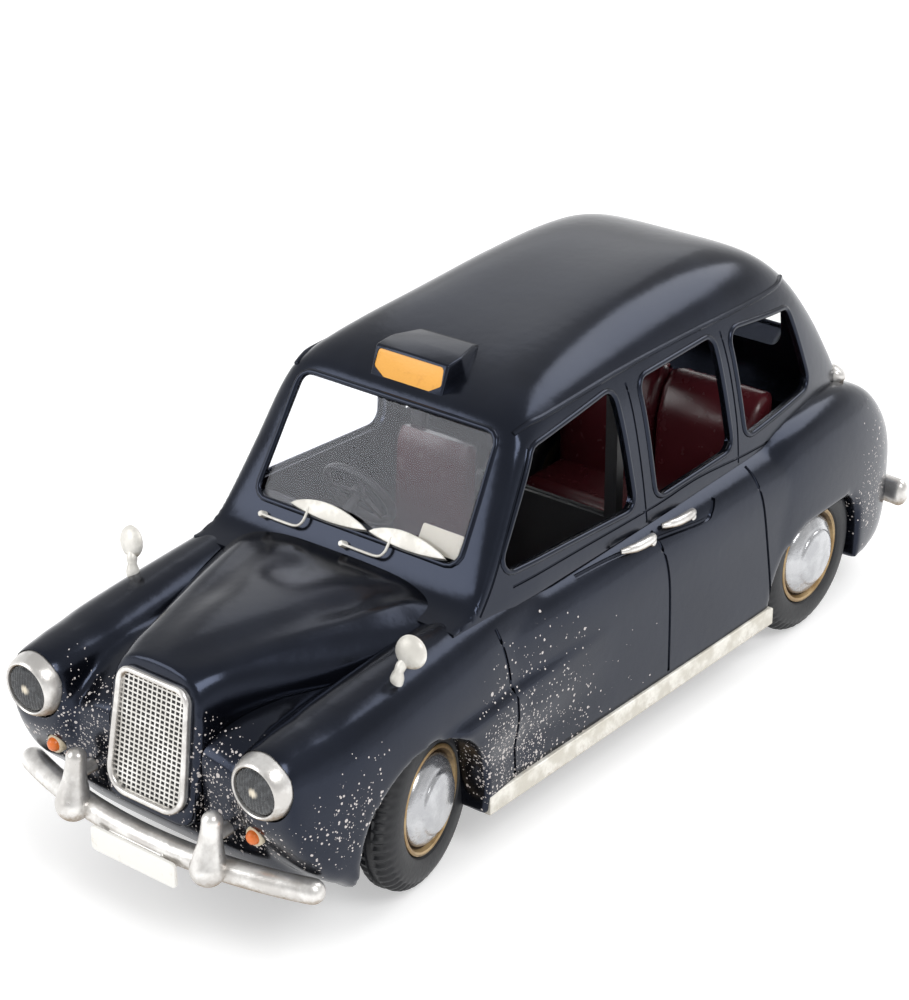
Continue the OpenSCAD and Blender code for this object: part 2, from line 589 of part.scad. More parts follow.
// Door handles on one side, seated in their pockets.
handle_x = [1, -23.5];
module handles(side) {
    color("silver") for (x = handle_x)
        translate([x - 9.5, side > 0 ? 60.5 : -63, 80.4]) cube([19, 2.5, 2.8]);
}
module handles_left() { handles(1); }
module handles_right() { handles(-1); }

module sill_strip(side) {
    color("silver") difference() {
        mirror([0, side > 0 ? 0 : 1, 0]) translate([0, 0, body_z - 0.9]) linear_extrude(7.4) sill_plan();
        front_well(side);
    }
}
module sill_left() { sill_strip(1); }
module sill_right() { sill_strip(-1); }

module filler_place() {
    translate([-149, 46.5, 86]) rotate([-28, -24, 0]) children();
}
module filler_cap() {
    color("silver") filler_place() cylinder(7, 4.2, 3.6);
}

// Frame of the steering wheel: z along the column towards the driver.
module helm_place() {
    translate([46, -driver_y, 92]) rotate([0, -62, 0]) children();
}
module dashboard() {
    color("black") difference() {
        translate([0, 52, 0]) rotate([90, 0, 0]) linear_extrude(104)
            polygon([[82, 62], [82, 85], [76, 92], [64, 93], [60, 90], [62, 62]]);
        helm_place() translate([0, 0, -19]) cylinder(12, 1.9, 1.9);
    }
}
module steering_wheel() {
    color("dimgray") helm_place() {
        rotate_extrude() translate([helm_r - 1.4, 0]) circle(1.4, $fn = 16);
        translate([0, 0, -1]) cylinder(2, 3.2, 3.2);
        for (a = [0, 120, 240]) rotate([0, 0, a + 30]) translate([2, -1, -0.6]) cube([helm_r - 3.4, 2, 1.2]);
        translate([0, 0, -19]) cylinder(19, 1.6, 1.6);
    }
}
module driver_seat() {
    color("maroon") translate([0, -driver_y, 0]) {
        translate([4, -17, body_z]) cube([30, 34, 34]);
        translate([3, 17, 0]) rotate([90, 0, 0]) linear_extrude(34) polygon([[0, 50], [8, 50], [4, 94], [1, 99], [-3, 98], [-4, 94]]);
    }
}
module partition() {
    color("gray") difference() {
        translate([partition_x - partition_t, -46, body_z]) cube([partition_t, 92, 116]);
        translate([partition_x - partition_t - 1, -41, 82]) cube([partition_t + 2, 39.5, 47]);
        translate([partition_x - partition_t - 1, 1.5, 82]) cube([partition_t + 2, 39.5, 47]);
    }
}
module partition_glass() {
    color("lightblue") for (y = [-41, 1.5]) translate([partition_x - partition_t / 2 - 0.6, y, 82]) cube([1.2, 39.5, 47]);
}
module rear_bench() {
    color("maroon") {
        translate([-105, -45, body_z]) cube([34, 90, 30]);
        translate([0, 45, 0]) rotate([90, 0, 0]) linear_extrude(90) polygon([[-105, 40], [-96, 40], [-100, 84], [-104, 92], [-110, 95], [-114, 92], [-111, 60]]);
    }
}
module taximeter() {
    color("black") translate([62, 32, 93]) cube([10, 14, 7]);
}

module front_axle() {
    color("dimgray") {
        translate([front_axle_x - 5, -32, body_z]) cube([10, 64, axle_z - body_z + 4]);
        for (s = [-1, 1]) {
            translate([front_axle_x, s * 30, axle_z]) rotate([-90 * s, 0, 0]) cylinder(12, 4, 4);
            front_place(s) translate([0, 0, -11]) cylinder(13, pin_r, pin_r);
        }
    }
}
module rear_axle() {
    color("dimgray") {
        translate([-rear_axle_x - 5, -44, body_z]) cube([10, 88, axle_z - body_z + 4]);
        for (s = [-1, 1]) rear_place(s) translate([0, 0, -15]) cylinder(17, pin_r, pin_r);
    }
}

// Tyre turned about the wheel axis, z outwards.
module tyre() {
    w = tyre_w / 2;
    color([0.08, 0.08, 0.1]) rotate_extrude($fn = 96)
        polygon([[rim_r, -w + 1.5], [rim_r * 1.1, -w], [tyre_r * 0.81, -w], [tyre_r * 0.935, -w + 1.6], [tyre_r, -w + 4.5], [tyre_r, w - 4.5],
            [tyre_r * 0.935, w - 1.6], [tyre_r * 0.81, w], [rim_r * 1.1, w], [rim_r, w - 1.5]]);
}
// Rim, disc and hub cap in one piece with a blind bore from the back.
module wheel() {
    w = tyre_w / 2;
    bore = pin_r + pin_gap;
    color("silver") rotate_extrude($fn = 96)
        polygon([[bore, -5.5], [7, -5.5], [7, -2], [rim_r - 2, -2], [rim_r - 2, -w + 1.5], [rim_r, -w + 1.5], [rim_r, w - 0.9], [rim_r - 1.6, w - 0.7],
            [rim_r - 2.4, w - 2.6], [cap_r + 0.4, w - 3.2], [cap_r, w - 1.6], [cap_r - 1.2, w], [boss_r + 1, w + 1.6], [boss_r, w + 1.8],
            [boss_r - 0.4, w + 3], [boss_r - 2, w + 3.7], [0, w + 3.9], [0, 3], [bore, 3]]);
}
module tyre_front_left() { front_place(1) tyre(); }
module wheel_front_left() { front_place(1) wheel(); }
module tyre_front_right() { front_place(-1) tyre(); }
module wheel_front_right() { front_place(-1) wheel(); }
module tyre_rear_left() { rear_place(1) tyre(); }
module wheel_rear_left() { rear_place(1) wheel(); }
module tyre_rear_right() { rear_place(-1) tyre(); }
module wheel_rear_right() { rear_place(-1) wheel(); }

body_shell();
bonnet();
cabin();
base_plate();
windscreen();
rear_window();
grille_frame();
grille_mesh();
headlamp_left();
headlamp_right();
lens_left();
lens_right();
indicators();
front_bumper();
number_plate();
rear_bumper();
tail_lamps();
sign_housing();
sign_face();
mirror_left();
mirror_right();
wipers();
handles_left();
handles_right();
sill_left();
sill_right();
filler_cap();
dashboard();
steering_wheel();
driver_seat();
partition();
partition_glass();
rear_bench();
taximeter();
front_axle();
rear_axle();
tyre_front_left();
wheel_front_left();
tyre_front_right();
wheel_front_right();
tyre_rear_left();
wheel_rear_left();
tyre_rear_right();
wheel_rear_right();
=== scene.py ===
"""Looks of the model taxi cab: cast panels, hand paint, patina, painted shade and small trim round the fixed
frame.
"""

import logging
import math
from dataclasses import dataclass
from enum import Enum
from typing import Callable, Iterable, Sequence, Union

import bmesh
import bpy
from mathutils import Matrix, Vector
from mathutils.bvhtree import BVHTree


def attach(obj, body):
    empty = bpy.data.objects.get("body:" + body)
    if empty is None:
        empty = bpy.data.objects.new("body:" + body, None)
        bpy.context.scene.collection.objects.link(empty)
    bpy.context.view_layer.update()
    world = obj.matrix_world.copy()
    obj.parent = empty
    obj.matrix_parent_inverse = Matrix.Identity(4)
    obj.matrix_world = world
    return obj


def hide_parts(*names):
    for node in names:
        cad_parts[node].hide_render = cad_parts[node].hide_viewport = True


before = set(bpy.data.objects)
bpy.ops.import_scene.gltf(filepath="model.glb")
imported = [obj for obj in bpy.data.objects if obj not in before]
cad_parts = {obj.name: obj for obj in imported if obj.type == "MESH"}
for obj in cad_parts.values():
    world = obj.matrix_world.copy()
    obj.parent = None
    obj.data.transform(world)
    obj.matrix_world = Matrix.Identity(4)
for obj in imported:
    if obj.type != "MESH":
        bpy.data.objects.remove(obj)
LOG = logging.getLogger("cab")
MM = 0.001
Row = tuple[float, ...]
Table = tuple[Row, ...]
Colour = tuple[float, float, float]
Point = tuple[float, float, float]
Spot = tuple[float, float]
Mesh = bmesh.types.BMesh


class Side(Enum):
    """Side of the cab, with the sign of its y."""

    LEFT = 1
    RIGHT = -1

    @property
    def word(self) -> str:
        """Side as it is used in the names of pieces."""
        return self.name.lower()


class End(Enum):
    """End of the cab."""

    FRONT = "front"
    REAR = "rear"


# Shader graphs


class Value:
    """Value socket of a material's graph that can be written in arithmetic."""

    def __init__(self, graph: "Graph", socket: bpy.types.NodeSocket) -> None:
        """Keeps the graph and the socket.

        Args:
            graph: Graph that the socket belongs to.
            socket: Output socket that gives the value.
        """
        self.graph = graph
        self.socket = socket

    def __add__(self, other: "Term") -> "Value":
        """Sum of two values."""
        return self.graph.maths("ADD", self, other)

    def __sub__(self, other: "Term") -> "Value":
        """Difference of two values."""
        return self.graph.maths("SUBTRACT", self, other)

    def __rsub__(self, other: "Term") -> "Value":
        """Difference from a plain number."""
        return self.graph.maths("SUBTRACT", other, self)

    def __mul__(self, other: "Term") -> "Value":
        """Product of two values."""
        return self.graph.maths("MULTIPLY", self, other)

    __radd__ = __add__
    __rmul__ = __mul__

    def band(self, low: float, high: float) -> "Value":
        """Smooth step of the value.

        Args:
            low: Value at which the step is 0.
            high: Value at which the step is 1.

        Returns:
            Value from 0 to 1.
        """
        node = self.graph.node(
            "ShaderNodeMapRange", {"interpolation_type": "SMOOTHSTEP", "clamp": True},
            {"Value": self, "From Min": low, "From Max": high})
        return Value(self.graph, node.outputs["Result"])

    def most(self, other: "Term") -> "Value":
        """Larger of two values."""
        return self.graph.maths("MAXIMUM", self, other)


Term = Union[Value, float]


class Graph:
    """Node graph of one material with a single Principled shader."""

    def __init__(self, name: str) -> None:
        """Starts a material.

        Args:
            name: Name of the material.
        """
        self.material = bpy.data.materials.new(name)
        self.material.use_nodes = True
        self.tree = self.material.node_tree
        self.shader = self.tree.nodes["Principled BSDF"]
        self.place = self.node("ShaderNodeTexCoord").outputs["Object"]

    def node(
            self, kind: str, settings: dict | None = None, sockets: dict | None = None) -> bpy.types.Node:
        """Adds any node.

        Args:
            kind: Type of the node.
            settings: Attributes that are set first.
            sockets: Inputs by name or number, as values or links.

        Returns:
            The node.
        """
        made = self.tree.nodes.new(kind)
        for key, value in (settings or {}).items():
            setattr(made, key, value)
        for key, value in (sockets or {}).items():
            self.feed(made.inputs[key], value)
        return made

    def feed(self, socket: bpy.types.NodeSocket, value: object) -> None:
        """Links a socket or sets its value.

        Args:
            socket: Input socket.
            value: Value, output socket, number or tuple.
        """
        if isinstance(value, Value):
            value = value.socket
        if isinstance(value, bpy.types.NodeSocket):
            self.tree.links.new(value, socket)
        else:
            socket.default_value = value

    def maths(self, operation: str, first: Term, second: Term) -> Value:
        """Adds a Math node.

        Args:
            operation: Name of the operation.
            first: First term.
            second: Second term.

        Returns:
            Result of the operation.
        """
        node = self.node("ShaderNodeMath", {"operation": operation}, {0: first, 1: second})
        return Value(self, node.outputs[0])

    def cloud(self, size: float, detail: float = 3.0, rough: float = 0.55) -> Value:
        """Noise of a given grain.

        Args:
            size: Size of the grain in metres.
            detail: Octaves of the noise.
            rough: Weight of the finer octaves.

        Returns:
            Value round 0.5.
        """
        node = self.node(
            "ShaderNodeTexNoise", None,
            {"Vector": self.place, "Scale": 1 / size, "Detail": detail, "Roughness": rough})
        return Value(self, node.outputs[0])

    def facing(self, name: str) -> Value:
        """One part of the surface's normal."""
        normal = self.node("ShaderNodeNewGeometry").outputs["Normal"]
        return Value(self, self.node("ShaderNodeSeparateXYZ", None, {0: normal}).outputs[name])

    def mix(self, mask: Term, low: object, high: object) -> bpy.types.NodeSocket:
        """Mix of two colours.

        Args:
            mask: Share of the second colour.
            low: First colour.
            high: Second colour.

        Returns:
            Colour socket.
        """
        node = self.node("ShaderNodeMix", {"data_type": "RGBA"})
        for number, value in ((0, mask), (6, low), (7, high)):
            if isinstance(value, tuple) and len(value) == 3:
                value = (*value, 1.0)
            self.feed(node.inputs[number], value)
        return node.outputs[2]

    def specks(self, pitch: float, size: float, share: Term) -> Value:
        """Round flecks of paint of varied size.

        Args:
            pitch: Mean distance of the flecks in metres.
            size: Largest radius as a share of the pitch.
            share: Share of the cells that hold a fleck.

        Returns:
            Mask from 0 to 1.
        """
        cell = self.node("ShaderNodeTexVoronoi", None, {"Vector": self.place, "Scale": 1 / pitch})
        parts = self.node("ShaderNodeSeparateColor", None, {0: cell.outputs["Color"]})
        held = self.maths("LESS_THAN", Value(self, parts.outputs[0]), share)
        edge = Value(self, parts.outputs[1]) * Value(self, parts.outputs[1]) * size + size * 0.25
        inside = (edge - Value(self, cell.outputs["Distance"])).band(0.0, 0.05)
        return inside * held

    def ball(self, centre: Point, radius: float) -> Value:
        """Soft ball round a point.

        Args:
            centre: Middle of the ball in metres.
            radius: Distance at which it ends.

        Returns:
            Value that falls from 1 to 0.
        """
        node = self.node("ShaderNodeVectorMath", {"operation": "DISTANCE"}, {0: self.place, 1: centre})
        return 1 - Value(self, node.outputs["Value"]).band(radius * 0.25, radius)

    def bump(self, height: Value, depth: float, strength: float = 1.0) -> None:
        """Feeds a relief to the shader.

        Args:
            height: Height from 0 to 1.
            depth: Depth of the relief in metres.
            strength: Share of the effect.
        """
        relief = {"Height": height, "Distance": depth, "Strength": strength}
        node = self.node("ShaderNodeBump", None, relief)
        self.feed(self.shader.inputs["Normal"], node.outputs[0])

    def set(self, **sockets: object) -> bpy.types.Material:
        """Feeds sockets of the shader.

        Args:
            sockets: Values or links, by socket name with _ for a space.

        Returns:
            The material.
        """
        for key, value in sockets.items():
            if isinstance(value, tuple) and len(value) == 3:
                value = (*value, 1.0)
            self.feed(self.shader.inputs[key.replace("_", " ")], value)
        return self.material


# Finishes


@dataclass(frozen=True)
class Splash:
    """Patch of paint spatter: middle, reach in metres and share of flecks."""

    centre: Point
    reach: float
    share: float


# Spatter of the left side: x, y, z and reach in metres, and share of flecks

SPATTER: Table = (
    (0.176, 0.026, 0.052, 0.024, 1.0), (0.174, 0.024, 0.070, 0.016, 0.6),
    (0.176, 0.044, 0.050, 0.018, 0.8), (0.162, 0.064, 0.050, 0.020, 0.7),
    (0.150, 0.066, 0.058, 0.020, 0.3), (0.168, 0.040, 0.072, 0.010, 0.3),
    (0.084, 0.067, 0.038, 0.022, 1.1), (0.070, 0.067, 0.030, 0.024, 0.8),
    (0.078, 0.067, 0.056, 0.024, 0.45), (0.050, 0.067, 0.034, 0.028, 0.35),
    (0.056, 0.066, 0.060, 0.030, 0.16), (0.020, 0.067, 0.036, 0.034, 0.08),
    (-0.152, 0.062, 0.042, 0.022, 0.9), (-0.160, 0.060, 0.062, 0.024, 0.3))
SPLASHES = tuple(
    Splash((x, side.value * y, z), reach, share) for side in Side for x, y, z, reach, share in SPATTER)


@dataclass(frozen=True)
class BlackPaint:
    """Brushed gloss black with spatter, and a lighter bluish painted sheen in brush patches.

    A row of flecks is pitch in metres, largest radius as a share of it and share of the cells.
    """

    name: str = "black_paint"
    colour: Colour = (0.0018, 0.0020, 0.0030)
    sheen: Colour = (0.0044, 0.0052, 0.0080)
    roughness: float = 0.19
    gloss: float = 0.48
    tint: Colour = (0.60, 0.70, 1.0)
    fleck: Colour = (0.60, 0.55, 0.52)
    flecks: Table = ((0.0008, 0.46, 0.5), (0.0014, 0.42, 0.34), (0.0030, 0.26, 0.13))

    def material(self) -> bpy.types.Material:
        """Builds the paint."""
        g = Graph(self.name)
        brush = g.cloud(0.030, 4)
        fine = g.cloud(0.0035, 3)
        # Brush patches take the sheen colour: a painted bluish sheen over the black
        colour = g.mix(brush.band(0.35, 0.7), self.colour, self.sheen)
        rough = brush * 0.10 + fine * 0.05 + (self.roughness - 0.075)
        share: Term = 0.0
        for s in SPLASHES:
            share = g.ball(s.centre, s.reach) * s.share + share
        flecks: Term = 0.0
        for pitch, size, part in self.flecks:
            flecks = g.specks(pitch, size, share * part).most(flecks)
        colour = g.mix(flecks * 0.92, colour, self.fleck)
        rough = rough + flecks * 0.25
        g.bump(brush * 0.75 + fine * 0.25, 0.0006, 0.3)
        return g.set(
            Base_Color=colour, Roughness=rough, Specular_IOR_Level=self.gloss, Specular_Tint=self.tint)


@dataclass(frozen=True)
class SilverPaint:
    """Silver paint with a brown wash in patches, and the same brown laid on as painted shade on the low,
    turned-down faces.
    """

    name: str = "silver_paint"
    colour: Colour = (0.60, 0.58, 0.555)
    bright: Colour = (0.84, 0.825, 0.80)
    # Brown of the wash, also used as painted shade on turned-down faces
    wash: Colour = (0.20, 0.125, 0.05)
    wash_and_shade_strength: float = 0.7
    metallic: float = 0.78
    roughness: float = 0.3

    def material(self) -> bpy.types.Material:
        """Builds the paint."""
        g = Graph(self.name)
        patch = g.cloud(0.009, 4, 0.6)
        fine = g.cloud(0.0014, 3, 0.6)
        # Painted shade: turned-down faces take the brown and lose gloss
        under = (g.facing("Z") * -1).band(-0.3, 0.8)
        # Blend of the brown wash in patches and the painted shade below
        blend = patch * 0.55 + fine * 0.4 + under * 0.45 - 0.18
        blend = blend.band(0.6 - 0.3 * self.wash_and_shade_strength, 0.95 - 0.2 * self.wash_and_shade_strength)
        colour = g.mix(patch.band(0.4, 0.65), self.colour, self.bright)
        colour = g.mix(blend * 0.85, colour, self.wash)
        g.bump(fine * 0.5 + patch * 0.5, 0.0005, 0.3)
        rough = blend * 0.2 + fine * 0.12 + (self.roughness - 0.06)
        return g.set(Base_Color=colour, Roughness=rough, Metallic=self.metallic - blend * 0.25)


@dataclass(frozen=True)
class PlainPaint:
    """One coat of paint with brush marks and a darker wash in patches."""

    name: str
    colour: Colour
    wash: Colour
    roughness: float = 0.4
    share: float = 0.35
    grain: float = 0.006
    relief: float = 0.0003

    def material(self) -> bpy.types.Material:
        """Builds the paint."""
        g = Graph(self.name)
        patch = g.cloud(self.grain, 4, 0.6)
        fine = g.cloud(self.grain * 0.15, 2)
        blend = (patch * 0.7 + fine * 0.3).band(0.64 - 0.24 * self.share, 0.82)
        g.bump(patch * 0.5 + fine * 0.5, self.relief, 0.4)
        rough = fine * 0.14 + blend * 0.1 + (self.roughness - 0.08)
        return g.set(Base_Color=g.mix(blend, self.colour, self.wash), Roughness=rough)


@dataclass(frozen=True)
class ClearSheet:
    """Clear plastic sheet with faint scuffs."""

    name: str = "clear_sheet"
    colour: Colour = (0.97, 0.985, 0.98)
    glare: float = 0.5
    tint: Colour = (1.0, 1.0, 1.0)

    def material(self) -> bpy.types.Material:
        """Builds the sheet."""
        g = Graph(self.name)
        scuff = g.cloud(0.02, 4).band(0.45, 0.8)
        return g.set(Base_Color=self.colour, Roughness=scuff * 0.06 + 0.01, Transmission_Weight=1.0, IOR=1.3,
                     Specular_IOR_Level=self.glare, Specular_Tint=self.tint)


@dataclass(frozen=True)
class LampGlass:
    """Dark lamp glass that is lighter in the middle of each lamp."""

    name: str = "lamp_lens"
    colour: Colour = (0.008, 0.010, 0.013)
    glint: Colour = (0.05, 0.055, 0.06)
    light: Colour = (0.80, 0.72, 0.58)
    spot: Point = (0.1829, 0.0494, 0.0680)

    def material(self) -> bpy.types.Material:
        """Builds the glass."""
        g = Graph(self.name)
        x, y, z = self.spot
        glow = g.ball((x, y, z), 0.0022).most(g.ball((x, -y, z), 0.0022))
        haze = g.cloud(0.0016, 3)
        colour = g.mix(glow, g.mix(haze.band(0.4, 0.7), self.colour, self.glint), self.light)
        g.bump(haze, 0.0002, 0.3)
        return g.set(Base_Color=colour, Roughness=haze * 0.1 + 0.08, Coat_Weight=0.5)


# Columns: name, colours, then strength of the wash and the painted shade, metal and roughness for silver,
# or roughness, share of the wash, grain in metres and relief for plain paint

BLACK = BlackPaint()
TRIM = PlainPaint("trim_black", (0.010, 0.010, 0.011), (0.022, 0.021, 0.02), 0.4)
METER = PlainPaint("worn_black", (0.010, 0.010, 0.011), (0.42, 0.41, 0.39), 0.35, 0.6, 0.0035)
UNDERSIDE = PlainPaint("underside_black", (0.010, 0.010, 0.011), (0.022, 0.02, 0.017), 0.7)
SILVER = SilverPaint()
HUB = SilverPaint("hub_silver", (0.45, 0.455, 0.47), (0.58, 0.585, 0.60), wash_and_shade_strength=0.35, roughness=0.2)
SILL = SilverPaint(
    "sill_silver", (0.60, 0.57, 0.50), (0.82, 0.80, 0.74), (0.24, 0.16, 0.085), 0.75, 0.35, 0.4)
GOLD = SilverPaint(
    "gold_rim", (0.30, 0.19, 0.08), (0.46, 0.33, 0.17), (0.06, 0.035, 0.016), 0.8, 0.5, 0.35)
# Matte near-black sheet behind the grille mesh, as painted shade
SHADE_SHEET = PlainPaint("painted_shade_sheet", (0.008, 0.008, 0.009), (0.02, 0.018, 0.015), 0.6)
BROWN = PlainPaint("brown_recess", (0.060, 0.034, 0.015), (0.018, 0.012, 0.008), 0.5)
MESH = SilverPaint(
    "grille_mesh", (0.66, 0.64, 0.60), (0.86, 0.845, 0.81), (0.24, 0.165, 0.08), 0.5, 0.45)
TYRE = PlainPaint("tyre", (0.004, 0.0047, 0.007), (0.008, 0.009, 0.0125), 0.5, 0.5, 0.008)
LENS = LampGlass()
AMBER = PlainPaint("amber_lamp", (0.66, 0.15, 0.02), (0.36, 0.07, 0.012), 0.22, 0.3, 0.002)
CREAM = PlainPaint("cream_ring", (0.60, 0.52, 0.38), (0.30, 0.20, 0.10), 0.4, 0.5, 0.002)
RED = PlainPaint("red_lamp", (0.32, 0.012, 0.012), (0.14, 0.006, 0.006), 0.22, 0.3, 0.003)
PLATE = PlainPaint("plate_white", (0.82, 0.81, 0.77), (0.66, 0.62, 0.53), 0.45, 0.25, 0.007)
SIGN = PlainPaint("sign_amber", (0.80, 0.38, 0.055), (0.64, 0.27, 0.035), 0.35, 0.35, 0.007)
SEAT = PlainPaint("seat_maroon", (0.075, 0.011, 0.015), (0.05, 0.007, 0.01), 0.26, 0.3, 0.03, 0.0001)
DASH = PlainPaint("dash_grey", (0.035, 0.038, 0.048), (0.16, 0.165, 0.18), 0.5, 0.5, 0.008)
PANEL = PlainPaint("partition_black", (0.02, 0.02, 0.021), (0.05, 0.046, 0.042), 0.45, 0.3, 0.01)
CARD = PlainPaint("card_cream", (0.80, 0.73, 0.58), (0.62, 0.50, 0.33), 0.6, 0.3, 0.006)
CHALK = SilverPaint(
    "chalk_silver", (0.62, 0.60, 0.55), (0.82, 0.80, 0.75), (0.26, 0.19, 0.10), 0.4, 0.3, 0.42)
CLEAR = ClearSheet()
SCREEN = ClearSheet("screen_sheet", (0.93, 0.945, 0.99), 1.0, (0.92, 0.94, 1.0))
FINISHED: dict[str, bpy.types.Material] = {}


def coat(finish: object) -> bpy.types.Material:
    """Material of a finish, built once.

    Args:
        finish: One of the finishes above.

    Returns:
        The material.
    """
    if finish.name not in FINISHED:
        FINISHED[finish.name] = finish.material()
    return FINISHED[finish.name]


# Mesh tools, in millimetres


def turn(degrees: float, axis: str) -> Matrix:
    """Rotation about an axis."""
    return Matrix.Rotation(math.radians(degrees), 4, axis)


def shift(x: float, y: float, z: float) -> Matrix:
    """Translation."""
    return Matrix.Translation((x, y, z))


def spline(p0: float, p1: float, p2: float, p3: float, t: float) -> float:
    """Catmull-Rom value between p1 and p2."""
    square = 2 * p0 - 5 * p1 + 4 * p2 - p3
    cube = 3 * p1 - p0 - 3 * p2 + p3
    return 0.5 * (2 * p1 + (p2 - p0) * t + square * t * t + cube * t ** 3)


def row_at(rows: Table, u: float) -> Row:
    """Row of a form table at a share of its length.

    Args:
        rows: Form table.
        u: Share from 0 to 1.

    Returns:
        Interpolated row.
    """
    n = len(rows) - 1
    i = min(int(u * n), n - 1)
    t = u * n - i
    columns = zip(rows[max(i - 1, 0)], rows[i], rows[i + 1], rows[min(i + 2, n)])
    return tuple(spline(*column, t) for column in columns)


def row_at_x(rows: Table, x: float) -> Row:
    """Row of a form table at a station.

    Args:
        rows: Form table with falling or rising x.
        x: Station.

    Returns:
        Interpolated row.
    """
    low, high = (0.0, 1.0) if rows[0][0] < rows[-1][0] else (1.0, 0.0)
    for _ in range(40):
        middle = (low + high) / 2
        low, high = (middle, high) if row_at(rows, middle)[0] < x else (low, middle)
    return row_at(rows, (low + high) / 2)


def power(v: float, e: float) -> float:
    """Power that keeps the sign."""
    return math.copysign(abs(v) ** e, v)


def rim_point(row: Row, degrees: float) -> Vector:
    """Point on the outline of one row.

    Args:
        row: Row of a form table.
        degrees: Angle from the left side over the top.

    Returns:
        The point.
    """
    x, y, half, low, wide, top, above, below, narrow = row
    c, s = math.cos(math.radians(degrees)), math.sin(math.radians(degrees))
    e = 2 / (above if s >= 0 else below)
    z = wide + ((top - wide) if s >= 0 else (wide - low)) * power(s, e)
    return Vector((x, y + half * power(c, e) * (1 - narrow * max(0.0, z - wide)), z))


def even(points: Sequence[Vector], count: int) -> list[Vector]:
    """Spreads points evenly along a line, without the last one.

    Args:
        points: Points of the line.
        count: Number of steps.

    Returns:
        The points.
    """
    reach = [0.0]
    for a, b in zip(points, points[1:]):
        reach.append(reach[-1] + (b - a).length)
    found, i = [], 0
    for k in range(count):
        want = reach[-1] * k / count
        while i < len(points) - 2 and reach[i + 1] < want:
            i += 1
        span = max(reach[i + 1] - reach[i], 1e-9)
        found.append(points[i].lerp(points[i + 1], (want - reach[i]) / span))
    return found


def outline(row: Row, count: int) -> list[Vector]:
    """Outline of one row with evenly spread points in each quarter."""
    found = []
    for start in range(0, 360, 90):
        quarter = [rim_point(row, start + 90 * k / 60) for k in range(61)]
        found += even(quarter, count // 4)
    return found


def flank(rows: Table, x: float, z: float) -> float:
    """Outer y of a form at a station and height.

    Args:
        rows: Form table.
        x: Station.
        z: Height.

    Returns:
        The y on the left side.
    """
    row = row_at_x(rows, x)
    _, y, half, low, wide, top, above, below, narrow = row
    share = (z - wide) / (top - wide) if z >= wide else (wide - z) / (wide - low)
    n = above if z >= wide else below
    return y + half * max(0.0, 1 - min(1.0, share) ** n) ** (1 / n) * (1 - narrow * max(0.0, z - wide))


def grown(rows: Table, d: float) -> Table:
    """Form table that stands d further out on every side."""
    return tuple((r[0], r[1], r[2] + d, r[3] - d, r[4], r[5] + d, *r[6:]) for r in rows)


def mirrored(rows: Table) -> Table:
    """Form table on the other side of the cab."""
    return tuple((r[0], -r[1], *r[2:]) for r in rows)


def tidy(bm: Mesh) -> Mesh:
    """Merges doubles and turns the faces outwards."""
    bmesh.ops.remove_doubles(bm, verts=bm.verts[:], dist=1e-4)
    bmesh.ops.recalc_face_normals(bm, faces=bm.faces[:])
    return bm


def sleeve(rings: Sequence[Sequence[Vector]], closed: bool = False) -> Mesh:
    """Skin over rings of points.

    Args:
        rings: Rings with as many points each.
        closed: Whether the last ring meets the first, else both ends are capped.

    Returns:
        The closed mesh.
    """
    n, m = len(rings), len(rings[0])
    steps = n if closed else n - 1
    bm = bmesh.new()
    bmesh.ops.create_grid(bm, x_segments=steps, y_segments=m, size=0.5)
    for v in bm.verts:
        v.co = rings[round((v.co.x + 0.5) * steps) % n][round((v.co.y + 0.5) * m) % m]
    bmesh.ops.remove_doubles(bm, verts=bm.verts[:], dist=1e-4)
    bmesh.ops.holes_fill(bm, edges=[e for e in bm.edges if e.is_boundary], sides=0)
    return tidy(bm)


def loft(rows: Table, steps: int, count: int) -> Mesh:
    """Closed skin through the outlines of a form table.

    Args:
        rows: Form table.
        steps: Steps along the form.
        count: Points round it.

    Returns:
        The closed mesh.
    """
    return sleeve([outline(row_at(rows, k / steps), count) for k in range(steps + 1)])


def joined(meshes: Iterable[Mesh]) -> Mesh:
    """Puts several meshes into one and frees them."""
    whole = bmesh.new()
    for bm in meshes:
        mesh = bpy.data.meshes.new("part")
        bm.to_mesh(mesh)
        bm.free()
        whole.from_mesh(mesh)
        bpy.data.meshes.remove(mesh)
    return whole


def placed(bm: Mesh, place: Matrix) -> Mesh:
    """Moves a mesh to its place."""
    bmesh.ops.transform(bm, matrix=place, verts=bm.verts[:])
    if place.determinant() < 0:
        bmesh.ops.reverse_faces(bm, faces=bm.faces[:])
    return bm


def numbered(bm: Mesh, number: int) -> Mesh:
    """Gives all faces of a mesh the number of a finish."""
    for face in bm.faces:
        face.material_index = number
    return bm


def soften(bm: Mesh, edges: list[bmesh.types.BMEdge], radius: float, segments: int = 3) -> None:
    """Rounds edges of a mesh.

    Args:
        bm: The mesh.
        edges: Edges that are rounded.
        radius: Radius of the rounding.
        segments: Steps of the rounding.
    """
    bmesh.ops.bevel(
        bm, geom=edges, offset=radius, offset_type="OFFSET", affect="EDGES", segments=segments,
        profile=0.5, material=-1, clamp_overlap=True)


def block(low: Point, high: Point, edge: float = 0.0, segments: int = 3) -> Mesh:
    """Box between two corners with rounded edges.

    Args:
        low: Lowest corner.
        high: Highest corner.
        edge: Radius of the edges.
        segments: Steps of the rounding.

    Returns:
        The mesh.
    """
    bm = bmesh.new()
    size = Vector(high) - Vector(low)
    middle = (Vector(low) + Vector(high)) / 2
    place = Matrix.Translation(middle) @ Matrix.Diagonal((*size, 1))
    bmesh.ops.create_cube(bm, size=1, matrix=place)
    if edge:
        soften(bm, bm.edges[:], edge, segments)
    return bm


